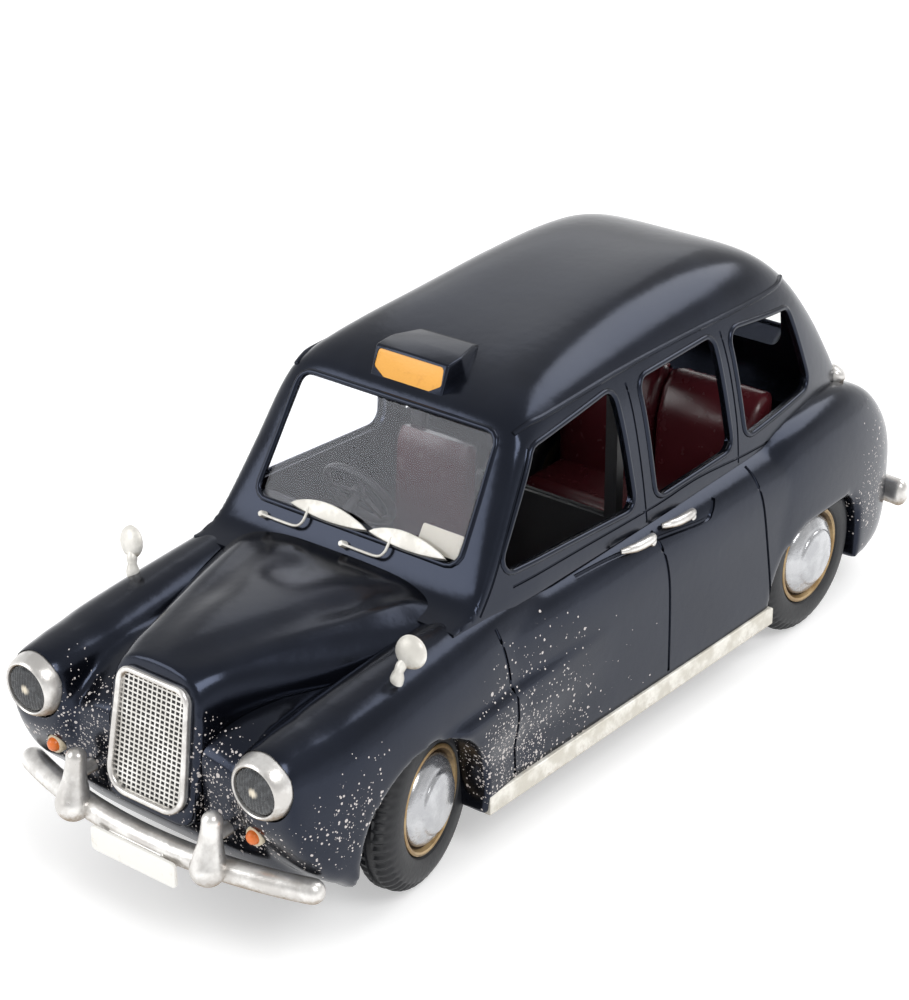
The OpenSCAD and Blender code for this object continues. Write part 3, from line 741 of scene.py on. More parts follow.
def slab(
        points: Sequence[Spot], low: float, high: float, edge: float = 0.0,
        segments: int = 3) -> Mesh:
    """Flat outline in x and y drawn up in z, with rounded edges.

    Args:
        points: Outline.
        low: Lower z.
        high: Upper z.
        edge: Radius of the edges round both faces.
        segments: Steps of the rounding.

    Returns:
        The mesh.
    """
    bm = bmesh.new()
    face = bm.faces.new([bm.verts.new((x, y, low)) for x, y in points])
    made = bmesh.ops.extrude_face_region(bm, geom=[face])
    top = [v for v in made["geom"] if isinstance(v, bmesh.types.BMVert)]
    bmesh.ops.translate(bm, vec=(0, 0, high - low), verts=top)
    bmesh.ops.recalc_face_normals(bm, faces=bm.faces[:])
    if edge:
        rims = [e for e in bm.edges if abs(e.verts[0].co.z - e.verts[1].co.z) < 1e-6]
        soften(bm, rims, edge, segments)
    return bm


def rounded(
        corners: Sequence[Spot], radius: float,
        steps: int = 6) -> list[Spot]:
    """Outline with rounded corners.

    Args:
        corners: Corners in turn.
        radius: Radius of each corner.
        steps: Steps of each arc.

    Returns:
        Points of the outline.
    """
    found = []
    n = len(corners)
    for i in range(n):
        here = Vector(corners[i])
        a = (Vector(corners[i - 1]) - here).normalized()
        b = (Vector(corners[(i + 1) % n]) - here).normalized()
        half = a.angle(b) / 2
        reach = radius / math.tan(half)
        p, q = here + a * reach, here + b * reach
        middle = here + (a + b).normalized() * radius / math.sin(half)
        for k in range(steps + 1):
            spoke = (p - middle).lerp(q - middle, k / steps).normalized() * radius
            found.append(tuple(middle + spoke))
    return found


def turned(profile: Sequence[Row], steps: int = 64) -> Mesh:
    """Shape turned about z from a profile of radius, z and finish number.

    Args:
        profile: Radius, z and optional number of the finish from that point on.
        steps: Steps of the full turn.

    Returns:
        The mesh.
    """
    bm = bmesh.new()
    verts = [bm.verts.new((p[0], 0, p[1])) for p in profile]
    edges = [bm.edges.new(pair) for pair in zip(verts, verts[1:])]
    bmesh.ops.spin(
        bm, geom=verts + edges, cent=(0, 0, 0), axis=(0, 0, 1), angle=math.tau, steps=steps, use_merge=True)
    tidy(bm)
    if len(profile[0]) > 2:
        middles = [(Vector(a[:2]) + Vector(b[:2])) / 2 for a, b in zip(profile, profile[1:])]
        for f in bm.faces:
            centre = f.calc_center_median()
            spot = Vector((math.hypot(centre.x, centre.y), centre.z))
            spans = [(middle - spot).length for middle in middles]
            f.material_index = int(profile[spans.index(min(spans))][2])
    return bm


def pin(radius: float, reach: float, steps: int = 40) -> Mesh:
    """Plain round pin along z."""
    return turned(((0, 0), (radius, 0), (radius, reach), (0, reach)), steps)


def smooth_line(points: Sequence[Sequence[float]], steps: int = 6) -> list[Vector]:
    """Catmull-Rom line through points.

    Args:
        points: Points that the line passes.
        steps: Steps of each span.

    Returns:
        Points of the line.
    """
    rows = tuple(tuple(p) for p in points)
    count = (len(rows) - 1) * steps
    return [*(Vector(row_at(rows, k / count)) for k in range(count)), Vector(rows[-1])]


def rod(
        path: Sequence[Sequence[float]], radii: Union[float, Sequence[float]], segments: int = 16,
        flat: float = 1.0) -> Mesh:
    """Round bar along a path, closed at both ends.

    Args:
        path: Points of the centre line.
        radii: Radius, or one for each point.
        segments: Points round the bar.
        flat: Height of the section as a share of its width.

    Returns:
        The mesh.
    """
    line = [Vector(p) for p in path]
    sizes = [radii] * len(line) if isinstance(radii, (int, float)) else list(radii)
    angles = [math.tau * j / segments for j in range(segments)]
    up = Vector((0, 0, 1))
    rings = []
    for k, spot in enumerate(line):
        ahead = (line[min(k + 1, len(line) - 1)] - line[max(k - 1, 0)]).normalized()
        side = ahead.cross(up if abs(ahead.dot(up)) < 0.95 else Vector((1, 0, 0))).normalized()
        over = side.cross(ahead) * flat
        rings.append([spot + (side * math.cos(a) + over * math.sin(a)) * sizes[k] for a in angles])
    return sleeve(rings)


def hoop(path: Sequence[Vector], radius: float, out: Vector, segments: int = 10) -> Mesh:
    """Round bead along a closed path.

    Args:
        path: Points of the centre line, without the first one again.
        radius: Radius of the bead.
        out: Direction across the plane of the path.
        segments: Points round the bead.

    Returns:
        The closed mesh.
    """
    n = len(path)
    rings = []
    for k, spot in enumerate(path):
        ahead = (path[(k + 1) % n] - path[k - 1]).normalized()
        side = ahead.cross(out).normalized()
        over = side.cross(ahead)
        angles = [math.tau * j / segments for j in range(segments)]
        rings.append([spot + (side * math.cos(a) + over * math.sin(a)) * radius for a in angles])
    return sleeve(rings, True)


def arc(
        x: float, y: float, radius: float, start: float, stop: float,
        steps: int = 12) -> list[Spot]:
    """Points of an arc between two angles in degrees.

    Args:
        x: Middle of the arc.
        y: Middle of the arc.
        radius: Radius.
        start: First angle.
        stop: Last angle.
        steps: Steps of the arc.

    Returns:
        Points in turn.
    """
    angles = [math.radians(start + (stop - start) * k / steps) for k in range(steps + 1)]
    return [(x + radius * math.cos(a), y + radius * math.sin(a)) for a in angles]


def ramp(low: float, high: float, value: float) -> float:
    """Smooth step from 0 at low to 1 at high."""
    t = min(1.0, max(0.0, (value - low) / (high - low)))
    return t * t * (3 - 2 * t)


def on_flank(tree: BVHTree, side: Side, x: float, z: float, sink: float) -> Vector:
    """Point under the skin of a flank.

    Args:
        tree: Search tree of the skin.
        side: Side of the cab.
        x: Station.
        z: Height.
        sink: Depth under the skin.

    Returns:
        The point.
    """
    out = Vector((0, side.value, 0))
    return tree.ray_cast(Vector((x, 0, z)) + out * 120, -out)[0] - out * sink


class Casting:
    """Solid under work, in millimetres, that other solids are cut from."""

    def __init__(self, bm: Mesh) -> None:
        """Starts from a mesh.

        Args:
            bm: Closed mesh, which is freed.
        """
        self.body = self.held(bm)

    @staticmethod
    def held(bm: Mesh) -> bpy.types.Object:
        """Object that holds a mesh for a while."""
        mesh = bpy.data.meshes.new("casting")
        bm.to_mesh(mesh)
        bm.free()
        held = bpy.data.objects.new("casting", mesh)
        bpy.context.scene.collection.objects.link(held)
        return held

    def settle(self) -> None:
        """Applies the modifiers."""
        graph = bpy.context.evaluated_depsgraph_get()
        old = self.body.data
        self.body.data = bpy.data.meshes.new_from_object(self.body.evaluated_get(graph))
        self.body.modifiers.clear()
        bpy.data.meshes.remove(old)

    def cut(self, *cutters: Mesh, operation: str = "DIFFERENCE") -> "Casting":
        """Cuts solids away or adds them.

        Args:
            cutters: Closed meshes, which are freed.
            operation: DIFFERENCE, UNION or INTERSECT.

        Returns:
            The casting.
        """
        for bm in cutters:
            tool = self.held(bm)
            modifier = self.body.modifiers.new("cut", "BOOLEAN")
            modifier.operation = operation
            modifier.object = tool
            modifier.solver = "MANIFOLD"
            self.settle()
            mesh = tool.data
            bpy.data.objects.remove(tool)
            bpy.data.meshes.remove(mesh)
        return self

    def recast(self, voxel: float, rounds: int) -> "Casting":
        """Melts the solid into one soft skin.

        Args:
            voxel: Size of the cells.
            rounds: Rounds of smoothing.

        Returns:
            The casting.
        """
        modifier = self.body.modifiers.new("skin", "REMESH")
        modifier.mode = "VOXEL"
        modifier.voxel_size = voxel
        self.settle()
        bm = bmesh.new()
        bm.from_mesh(self.body.data)
        for _ in range(rounds):
            bmesh.ops.smooth_vert(
                bm, verts=bm.verts[:], factor=0.5, use_axis_x=True, use_axis_y=True, use_axis_z=True)
        bm.to_mesh(self.body.data)
        bm.free()
        return self

    def press(self, move: Callable[[Vector, Vector], Vector]) -> "Casting":
        """Moves the skin by hand.

        Args:
            move: Step of each vertex by its place and normal.

        Returns:
            The casting.
        """
        bm = bmesh.new()
        bm.from_mesh(self.body.data)
        bm.normal_update()
        steps = [move(v.co, v.normal) for v in bm.verts]
        for v, step in zip(bm.verts, steps):
            v.co += step
        bm.to_mesh(self.body.data)
        bm.free()
        return self

    def tree(self) -> BVHTree:
        """Search tree of the present skin."""
        bm = bmesh.new()
        bm.from_mesh(self.body.data)
        found = BVHTree.FromBMesh(bm)
        bm.free()
        return found

    def done(self) -> Mesh:
        """Mesh of the casting, whose object is removed."""
        bm = bmesh.new()
        bm.from_mesh(self.body.data)
        mesh = self.body.data
        bpy.data.objects.remove(self.body)
        bpy.data.meshes.remove(mesh)
        return bm


def piece(
        name: str, bm: Mesh, finishes: Sequence[object],
        nodes: Sequence[str] = (), body: str = "body", crease: float = 38) -> None:
    """Makes a finished piece that rides on a body.

    Args:
        name: Name of the piece.
        bm: Mesh in millimetres, which is freed.
        finishes: Finishes by face number.
        nodes: Solids that the piece stands for.
        body: Body that it rides on.
        crease: Angle in degrees from which an edge stays sharp.
    """
    bmesh.ops.scale(bm, vec=(MM, MM, MM), verts=bm.verts[:])
    mesh = bpy.data.meshes.new(name)
    bm.to_mesh(mesh)
    bm.free()
    for finish in finishes:
        mesh.materials.append(coat(finish))
    mesh.shade_smooth()
    mesh.set_sharp_from_angle(angle=math.radians(crease))
    made = bpy.data.objects.new(name, mesh)
    bpy.context.scene.collection.objects.link(made)
    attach(made, body)
    if nodes:
        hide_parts(*nodes)
    LOG.info("%s: %d faces on %s", name, len(mesh.polygons), body)


def dress(node: str, finish: object) -> None:
    """Gives a solid of the frame its finish.

    Args:
        node: Name of the solid.
        finish: Finish that it gets.
    """
    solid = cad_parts[node]
    solid.data.materials.clear()
    solid.data.materials.append(coat(finish))
    LOG.info("%s: dressed in %s", node, finish.name)


# Form tables: station x, centre y, half width, low z, widest z, top z,
# fullness above, fullness below, narrowing for each mm of height.

TUB: Table = (
    (92, 0, 63.6, 10, 55, 87.0, 5.0, 10, 0), (55, 0, 64.8, 10, 52, 88.0, 5.0, 10, 0),
    (0, 0, 66.2, 10, 50, 89.0, 5.0, 10, 0), (-55, 0, 67.5, 10, 50, 90.0, 5.0, 10, 0),
    (-105, 0, 68.0, 10, 50, 90.5, 4.6, 10, 0), (-140, 0, 65.5, 10, 50, 89.5, 4.0, 8, 0),
    (-160, 0, 58.5, 11, 50, 86.0, 3.5, 6, 0), (-172, 0, 47.0, 14, 50, 78.0, 3.0, 5, 0),
    (-179, 0, 30.0, 22, 50, 68.0, 2.6, 4, 0))
REAR_WING: Table = (
    (-70, 51, 15.0, 12, 50, 80.0, 2.8, 8, 0), (-88, 52, 16.4, 11, 50, 88.0, 2.8, 8, 0),
    (-112, 52, 17.2, 11, 50, 91.0, 2.8, 8, 0), (-138, 51, 17.2, 11, 50, 90.0, 2.8, 8, 0),
    (-158, 50, 16.0, 13, 48, 84.0, 2.7, 6, 0), (-171, 49, 13.6, 17, 47, 74.0, 2.5, 5, 0),
    (-178, 48.4, 10.0, 30, 48, 64.0, 2.3, 4, 0), (-181.6, 48, 5.5, 44, 50, 56.0, 2.2, 3, 0))
BOOT: Table = (
    (-124, 0, 47.0, 20, 60, 101.0, 3.6, 6, 0), (-142, 0, 46.0, 20, 60, 98.5, 3.4, 6, 0),
    (-158, 0, 44.0, 20, 60, 91.5, 3.2, 6, 0), (-170, 0, 41.5, 20, 58, 81.0, 3.0, 5, 0),
    (-178, 0, 38.0, 24, 54, 69.0, 2.8, 5, 0), (-182.5, 0, 30.0, 40, 51, 59.0, 2.4, 4, 0))
APRON: Table = (
    (78, 0, 60.0, 12, 45, 76.0, 4.0, 8, 0), (138, 0, 60.0, 14, 45, 77.0, 4.0, 8, 0),
    (150, 0, 58.0, 17, 47, 76.5, 3.6, 7, 0), (160, 0, 55.0, 22, 48, 75.0, 3.2, 6, 0),
    (168, 0, 50.0, 26, 49, 72.0, 3.0, 5, 0), (174.5, 0, 44.0, 35, 51, 67.0, 2.8, 4, 0))
FRONT_WING: Table = (
    (14, 49.0, 13.0, 12, 55, 80.0, 2.6, 8, 0), (44, 49.6, 14.0, 12, 55, 85.0, 2.6, 8, 0),
    (70, 50.0, 14.4, 12, 55, 88.0, 2.6, 8, 0), (88, 50.0, 15.9, 12, 55, 87.4, 2.6, 8, 0),
    (112, 50.2, 16.9, 12, 52, 85.6, 2.6, 8, 0), (132, 50.2, 17.4, 12, 52, 84.0, 2.6, 8, 0),
    (148, 50.0, 17.1, 17, 53, 82.6, 2.6, 7, 0), (157, 49.8, 16.5, 25, 54, 81.6, 2.5, 6, 0),
    (164, 49.6, 15.6, 30, 55, 81.2, 2.5, 6, 0), (171, 49.4, 14.2, 37, 58, 80.6, 2.4, 5, 0),
    (176, 49.4, 12.8, 46, 62, 80.0, 2.3, 4, 0), (179, 49.4, 11.2, 53, 66, 78.8, 2.2, 3, 0))
BONNET: Table = (
    (82, 0, 51.0, 60, 74, 92.0, 3.2, 8, 0), (96, 0, 48.0, 60, 73, 93.0, 2.9, 8, 0),
    (115, 0, 42.0, 58, 72, 93.6, 2.7, 8, 0), (134, 0, 34.5, 52, 70, 93.8, 2.7, 8, 0),
    (150, 0, 27.6, 44, 68, 93.4, 2.8, 8, 0), (163, 0, 23.0, 41, 66, 92.2, 3.0, 8, 0),
    (173, 0, 20.0, 39.6, 64, 89.6, 3.3, 8, 0), (186, 0, 18.6, 39.6, 62, 85.0, 3.6, 8, 0))
CABIN: Table = tuple((x, 0, half, 76, 86, top, n, 6, 0.0023) for x, half, top, n in (
    (96, 57.0, 86.5, 6), (88, 57.4, 88.6, 8), (83, 57.6, 92.4, 9), (77.6, 57.8, 99.8, 10),
    (66, 58.4, 118.2, 10), (55, 58.8, 136.2, 10), (47, 58.8, 143.2, 9), (30, 58.7, 148.6, 7),
    (0, 58.7, 153.6, 5.2), (-40, 58.8, 157.4, 4.6), (-75, 58.6, 157.2, 4.8), (-100, 57.6, 152.8, 5.2),
    (-118, 56.0, 143.5, 5.0), (-133, 53.6, 128.0, 4.5), (-145, 50.8, 109.0, 4.0), (-153, 48.0, 92.0, 3.5)))
SIDE_WINDOWS = (
    ((74, 96.5), (48, 133), (0.5, 137), (-3.6, 92)),
    ((-15, 91), (-12.8, 135.4), (-59.6, 136.4), (-64, 92)),
    ((-72.4, 93), (-68.2, 135.4), (-110, 130.6), (-122, 96)))
SHUT_LINES = (
    ((79, 82), (76, 60), (73.5, 26)),
    ((-9, 82), (-12.8, 60), (-13.8, 26)),
    ((-69, 84), (-72, 66), (-77, 40), (-79.5, 26)))
SWAGE = ((34, 81.6), (12, 81), (-14, 79), (-36, 76.8), (-41, 78.3), (-45, 81.4))
PILLAR_LINES = (
    ((-8.6, 85), (-8.5, 100), (-7.5, 120), (-6.6, 136)),
    ((-66.5, 86), (-67.5, 100), (-66, 120), (-64, 136)),
    ((83, 87), (75, 96), (62, 115.5), (50, 133)),
    ((66, 91), (28, 90.1), (-13, 89.2), (-41, 89.8), (-70, 87.6), (-98, 86)))

# Places and plans that more than one piece uses

TO_X = turn(90, "Y")
FLIP = Matrix.Diagonal((1, -1, 1, 1))
SIGN_PLACE = shift(44.6, 0, 141.9) @ turn(17, "Y") @ Matrix.Diagonal((-1, 1, 1, 1))
FILLER_PLACE = shift(-149, 46.5, 86) @ turn(-24, "Y") @ turn(-28, "X")
HEADLAMP: Point = (172.0, 49.4, 68.0)
INDICATOR: Point = (174.0, 43.7, 47.3)
TAIL_LAMP: Point = (-175.0, 49.0, 62.0)
LUG: Point = (170.0, 29.8, 43.5)
SILL_PLAN: Table = ((88.5, 61.4), (88.5, 65.8), (-79, 69.2), (-79, 65.4))
SILL_TOP = 24.5
AXLE_Z = 31.4


def upright(place: Matrix) -> Matrix:
    """Place whose x runs across the cab and whose y runs up."""
    return place @ turn(90, "Z") @ turn(90, "X")


def sloped(x: float, z: float, back: float, rise: float) -> Matrix:
    """Plane across the cab that leans back as it rises."""
    return upright(shift(x, 0, z) @ turn(-math.degrees(math.atan2(back, rise)), "Y"))


GRILLE_PLACE = sloped(179.4, 43.2, 7.8, 42.6)
SCREEN_PLACE = sloped(78.9, 97.8, 24.5, 37.4)
REAR_LEAN = turn(math.degrees(math.atan2(12, 19)), "Y")
REAR_PANE_PLACE = shift(-143.4, 0, 111.6) @ REAR_LEAN @ turn(-90, "Z") @ turn(90, "X")


def wheel_place(end: End, side: Side) -> Matrix:
    """Frame of a wheel with z outwards.

    Args:
        end: Front or rear.
        side: Left or right.

    Returns:
        The frame.
    """
    out = turn(-90 * side.value, "X")
    if end is End.REAR:
        return shift(-112, side.value * 57.6, AXLE_Z) @ out
    steer = 12 if side is Side.LEFT else 9.5
    return shift(111, side.value * 51.6, AXLE_Z) @ turn(steer, "Z") @ out


def on_side(bm: Mesh, side: Side) -> Mesh:
    """Puts a mesh of the left side on the side that is asked for."""
    return bm if side is Side.LEFT else placed(bm, FLIP)


@dataclass
class Body:
    """Painted casting of tub, boot, apron and wings, with the bonnet and the cabin.

    An arch is its top, fore edge and radius, aft edge and radius. A room is the half width
    and top of a hollow. A pane is height and half width at its foot and top. A hollow of the
    bonnet is x, y, reach and depth.
    """

    floor_z: float = 17.0
    ledge_z: float = 84.0
    wall: float = 3.2
    voxel: float = 1.4
    bonnet_voxel: float = 0.95
    bonnet_gap: float = 0.4
    groove: float = 0.8
    swage_groove: float = 1.0
    thin_groove: float = 0.55
    arches: Table = ((59.5, 153, 30, 90, 30), (50, -79.5, 28, -142.5, 16))
    room_x: Spot = (-126, 82)
    rooms: Table = ((60, 76), (53, 120))
    screen: Table = ((0.8, 44.6), (47, 42.6))
    rear_pane: Table = ((-7, 31), (22.5, 28))
    corner: float = 5.0
    bead: float = 1.15
    tail_rise: float = 2.6
    hollows: Table = ((103, -9, 11, 1.1), (112, 22, 9, 0.6), (128, -16, 10, 0.5), (96, 34, 8, 0.5))
    socket_depth: float = 20.0

    def grille_cut(self) -> Mesh:
        """Block in front of the grille's plane."""
        return placed(block((-30, -30, 0), (30, 60, 40)), GRILLE_PLACE)

    def arch_cut(self, row: Row, side: Side) -> Mesh:
        """Opening of one wheel arch.

        Args:
            row: Top, fore edge and its radius, aft edge and its radius.
            side: Side of the cab.

        Returns:
            Cutter.
        """
        top, fore, fore_r, aft, aft_r = row
        foot = -12
        shape = [(aft, foot), *arc(aft + aft_r, top - aft_r, aft_r, 180, 90)]
        shape += [*arc(fore - fore_r, top - fore_r, fore_r, 90, 0), (fore, foot)]
        return on_side(placed(slab(shape, -90, -50), turn(90, "X")), side)

    def groove_cut(self, tree: BVHTree, run: Sequence[Row], side: Side, radius: float) -> Mesh:
        """Groove on a flank.

        Args:
            tree: Search tree of the skin.
            run: Points of x and z.
            side: Side of the cab.
            radius: Radius of the groove.

        Returns:
            Cutter.
        """
        line = smooth_line([(x, 0, z) for x, z in run], 10)
        return rod([on_flank(tree, side, p.x, p.z, radius * 0.2) for p in line], radius, 8)

    def socket_cuts(self, side: Side) -> list[Mesh]:
        """Round holes for the lamps and the bumper's lug.

        Args:
            side: Side of the cab.

        Returns:
            Cutters along x.
        """
        tail = (TAIL_LAMP[0] - self.socket_depth, *TAIL_LAMP[1:])
        lug = (LUG[0] - 2, *LUG[1:])
        holes = ((HEADLAMP, 11.5), (INDICATOR, 3.6), (tail, 5.3), (lug, 2.6))
        return [placed(pin(radius, self.socket_depth), shift(x, side.value * y, z) @ TO_X)
                for (x, y, z), radius in holes]

    def cabin_block(self) -> Mesh:
        """Cabin form above the waist ledge.

        Returns:
            Cutter.
        """
        bm = loft(CABIN, 80, 64)
        whole = bm.verts[:] + bm.edges[:] + bm.faces[:]
        low = Vector((0, 0, self.ledge_z))
        bmesh.ops.bisect_plane(bm, geom=whole, plane_co=low, plane_no=(0, 0, 1), clear_inner=True)
        bmesh.ops.holes_fill(bm, edges=[e for e in bm.edges if e.is_boundary], sides=0)
        return tidy(bm)

    def wing_tail(self, spot: Vector, normal: Vector) -> Vector:
        """Tail of the front wing that fades out on the door.

        Args:
            spot: Place on the skin.
            normal: Normal there.

        Returns:
            Step of the skin.
        """
        s = math.copysign(1, spot.y)
        if abs(spot.y) < 50 or normal.y * s < 0.2:
            return Vector()
        along = ramp(14, 80, spot.x) * (1 - ramp(100, 124, spot.x))
        up = ramp(34, 50, spot.z) * (1 - ramp(57, 61.5, spot.z))
        return Vector((0, s * self.tail_rise * along * up, 0))

    def build_shell(self) -> None:
        """Builds the lower casting."""
        forms = [loft(TUB, 120, 96), loft(BOOT, 60, 64), loft(APRON, 50, 64)]
        for rows, steps in ((REAR_WING, 72), (FRONT_WING, 90)):
            forms += [loft(rows, steps, 64), loft(mirrored(rows), steps, 64)]
        casting = Casting(forms[0]).cut(*forms[1:], operation="UNION")
        casting.cut(block((-250, -100, -20), (250, 100, self.floor_z)), self.grille_cut())
        casting.cut(*[self.arch_cut(row, side) for row in self.arches for side in Side])
        casting.recast(self.voxel, 6).press(self.wing_tail)
        tree = casting.tree()
        lines = [self.groove_cut(tree, run, side, self.groove) for run in SHUT_LINES for side in Side]
        lines += [self.groove_cut(tree, SWAGE, side, self.swage_groove) for side in Side]
        casting.cut(loft(grown(BONNET, self.bonnet_gap), 90, 64))
        rear, fore = self.room_x
        for half, top in self.rooms:
            casting.cut(block((rear, -half, self.floor_z - 4), (fore, half, top)))
        casting.cut(self.cabin_block(), *lines)
        for side in Side:
            sill = [(x, side.value * y) for x, y in SILL_PLAN]
            casting.cut(*self.socket_cuts(side), slab(sill, self.floor_z - 2, SILL_TOP))
        casting.cut(placed(pin(4.6, self.socket_depth, 32), FILLER_PLACE))
        piece("body_skin", casting.done(), [BLACK], ["body_shell"])

    def dents(self, spot: Vector, normal: Vector) -> Vector:
        """Creases and hollows worked into the bonnet by hand.

        Args:
            spot: Place on the skin.
            normal: Normal there.

        Returns:
            Step of the skin.
        """
        if normal.z < 0.1:
            return Vector()
        crest = 14 + (173 - spot.x) * 0.27
        off = abs(spot.y) - crest
        lift = 0.9 * math.exp(-(off / 4) ** 2) - 0.7 * math.exp(-((off + 9) / 6) ** 2)
        lift *= ramp(84, 96, spot.x) * (1 - ramp(160, 174, spot.x))
        for x, y, reach, deep in self.hollows:
            lift -= deep * math.exp(-((spot.x - x) ** 2 + (spot.y - y) ** 2) / reach ** 2)
        return normal * lift * ramp(0.1, 0.5, normal.z)

    def build_bonnet(self) -> None:
        """Builds the bonnet between the wings."""
        casting = Casting(loft(BONNET, 140, 128)).press(self.dents)
        casting.cut(self.grille_cut()).recast(self.bonnet_voxel, 5)
        piece("bonnet_skin", casting.done(), [BLACK], ["bonnet"])

    def window_bead(self, corners: Sequence[Row], side: Side) -> Mesh:
        """Thick soft edge round one side window.

        Args:
            corners: Corners of the window in x and z.
            side: Side of the cab.

        Returns:
            The bead.
        """
        edge = [Vector((x, 0, z)) for x, z in rounded(corners, self.corner)]
        line = even([*edge, edge[0]], 96)
        path = [Vector((p.x, side.value * (flank(CABIN, p.x, p.z) - 0.35), p.z)) for p in line]
        return hoop(path, self.bead, Vector((0, 1, 0)))

    def pane_outline(self, rows: Sequence[Row]) -> list[Spot]:
        """Outline of a windscreen or rear window on its slope."""
        (y0, w0), (y1, w1) = rows
        return rounded([(-w0, y0), (w0, y0), (w1, y1), (-w1, y1)], self.corner)

    def pane_bead(self, rows: Sequence[Row], place: Matrix, tree: BVHTree) -> Mesh:
        """Thick soft edge round the windscreen or the rear window.

        Args:
            rows: Height and half width at the foot and the top.
            place: Place of the pane's plane.
            tree: Search tree of the cabin.

        Returns:
            The bead.
        """
        edge = [Vector((x, y, 30)) for x, y in self.pane_outline(rows)]
        out = (place.to_3x3() @ Vector((0, 0, 1))).normalized()
        path = [tree.ray_cast(place @ p, -out)[0] - out * 0.3 for p in even([*edge, edge[0]], 110)]
        return hoop(path, self.bead, out)

    def gutter(self, side: Side) -> Mesh:
        """Rain gutter along the edge of the roof.

        Args:
            side: Side of the cab.

        Returns:
            The bar.
        """
        line = []
        for x in range(52, -118, -6):
            row = row_at_x(CABIN, x)
            z = min(138.5, row[5] - 3) + 2.0 * math.cos((x + 25) / 60)
            line.append((x, side.value * (flank(CABIN, x, z) + 0.1), z))
        return rod(smooth_line(line, 2), 1.0, 8)

    def build_cabin(self) -> None:
        """Builds the hollow cabin with its windows."""
        inner = Casting(loft(grown(CABIN, -self.wall), 120, 96))
        inner.cut(block((-138, -80, 60), (82, 80, 180)), operation="INTERSECT")
        casting = Casting(loft(CABIN, 190, 160))
        tree = casting.tree()
        casting.cut(*[self.gutter(side) for side in Side], operation="UNION")
        casting.cut(inner.done())
        for corners in SIDE_WINDOWS:
            casting.cut(placed(slab(rounded(corners, self.corner), -80, 80), turn(90, "X")))
        for rows, place in ((self.screen, SCREEN_PLACE), (self.rear_pane, REAR_PANE_PLACE)):
            casting.cut(placed(slab(self.pane_outline(rows), -12, 12), place))
            casting.cut(self.pane_bead(rows, place, tree), operation="UNION")
        for side in Side:
            casting.cut(*[self.window_bead(corners, side) for corners in SIDE_WINDOWS], operation="UNION")
            casting.cut(*[self.groove_cut(tree, run, side, self.thin_groove) for run in PILLAR_LINES])
        below = block((-200, -80, 60), (200, 80, self.ledge_z))
        casting.cut(below, block((-170, -80, 60), (-152, 80, 120)))
        piece("cabin_skin", casting.done(), [BLACK], ["cabin"])

    def build(self) -> None:
        """Builds the three castings and the panes, and dresses the base plate."""
        self.build_shell()
        self.build_bonnet()
        self.build_cabin()
        panes = (("windscreen", self.screen, SCREEN_PLACE, SCREEN),
                 ("rear_window", self.rear_pane, REAR_PANE_PLACE, CLEAR))
        for node, rows, place, finish in panes:
            pane = placed(slab(self.pane_outline(rows), -2.2, -1.2), place)
            piece(f"{node}_sheet", pane, [finish], [node])
        dress("base_plate", UNDERSIDE)


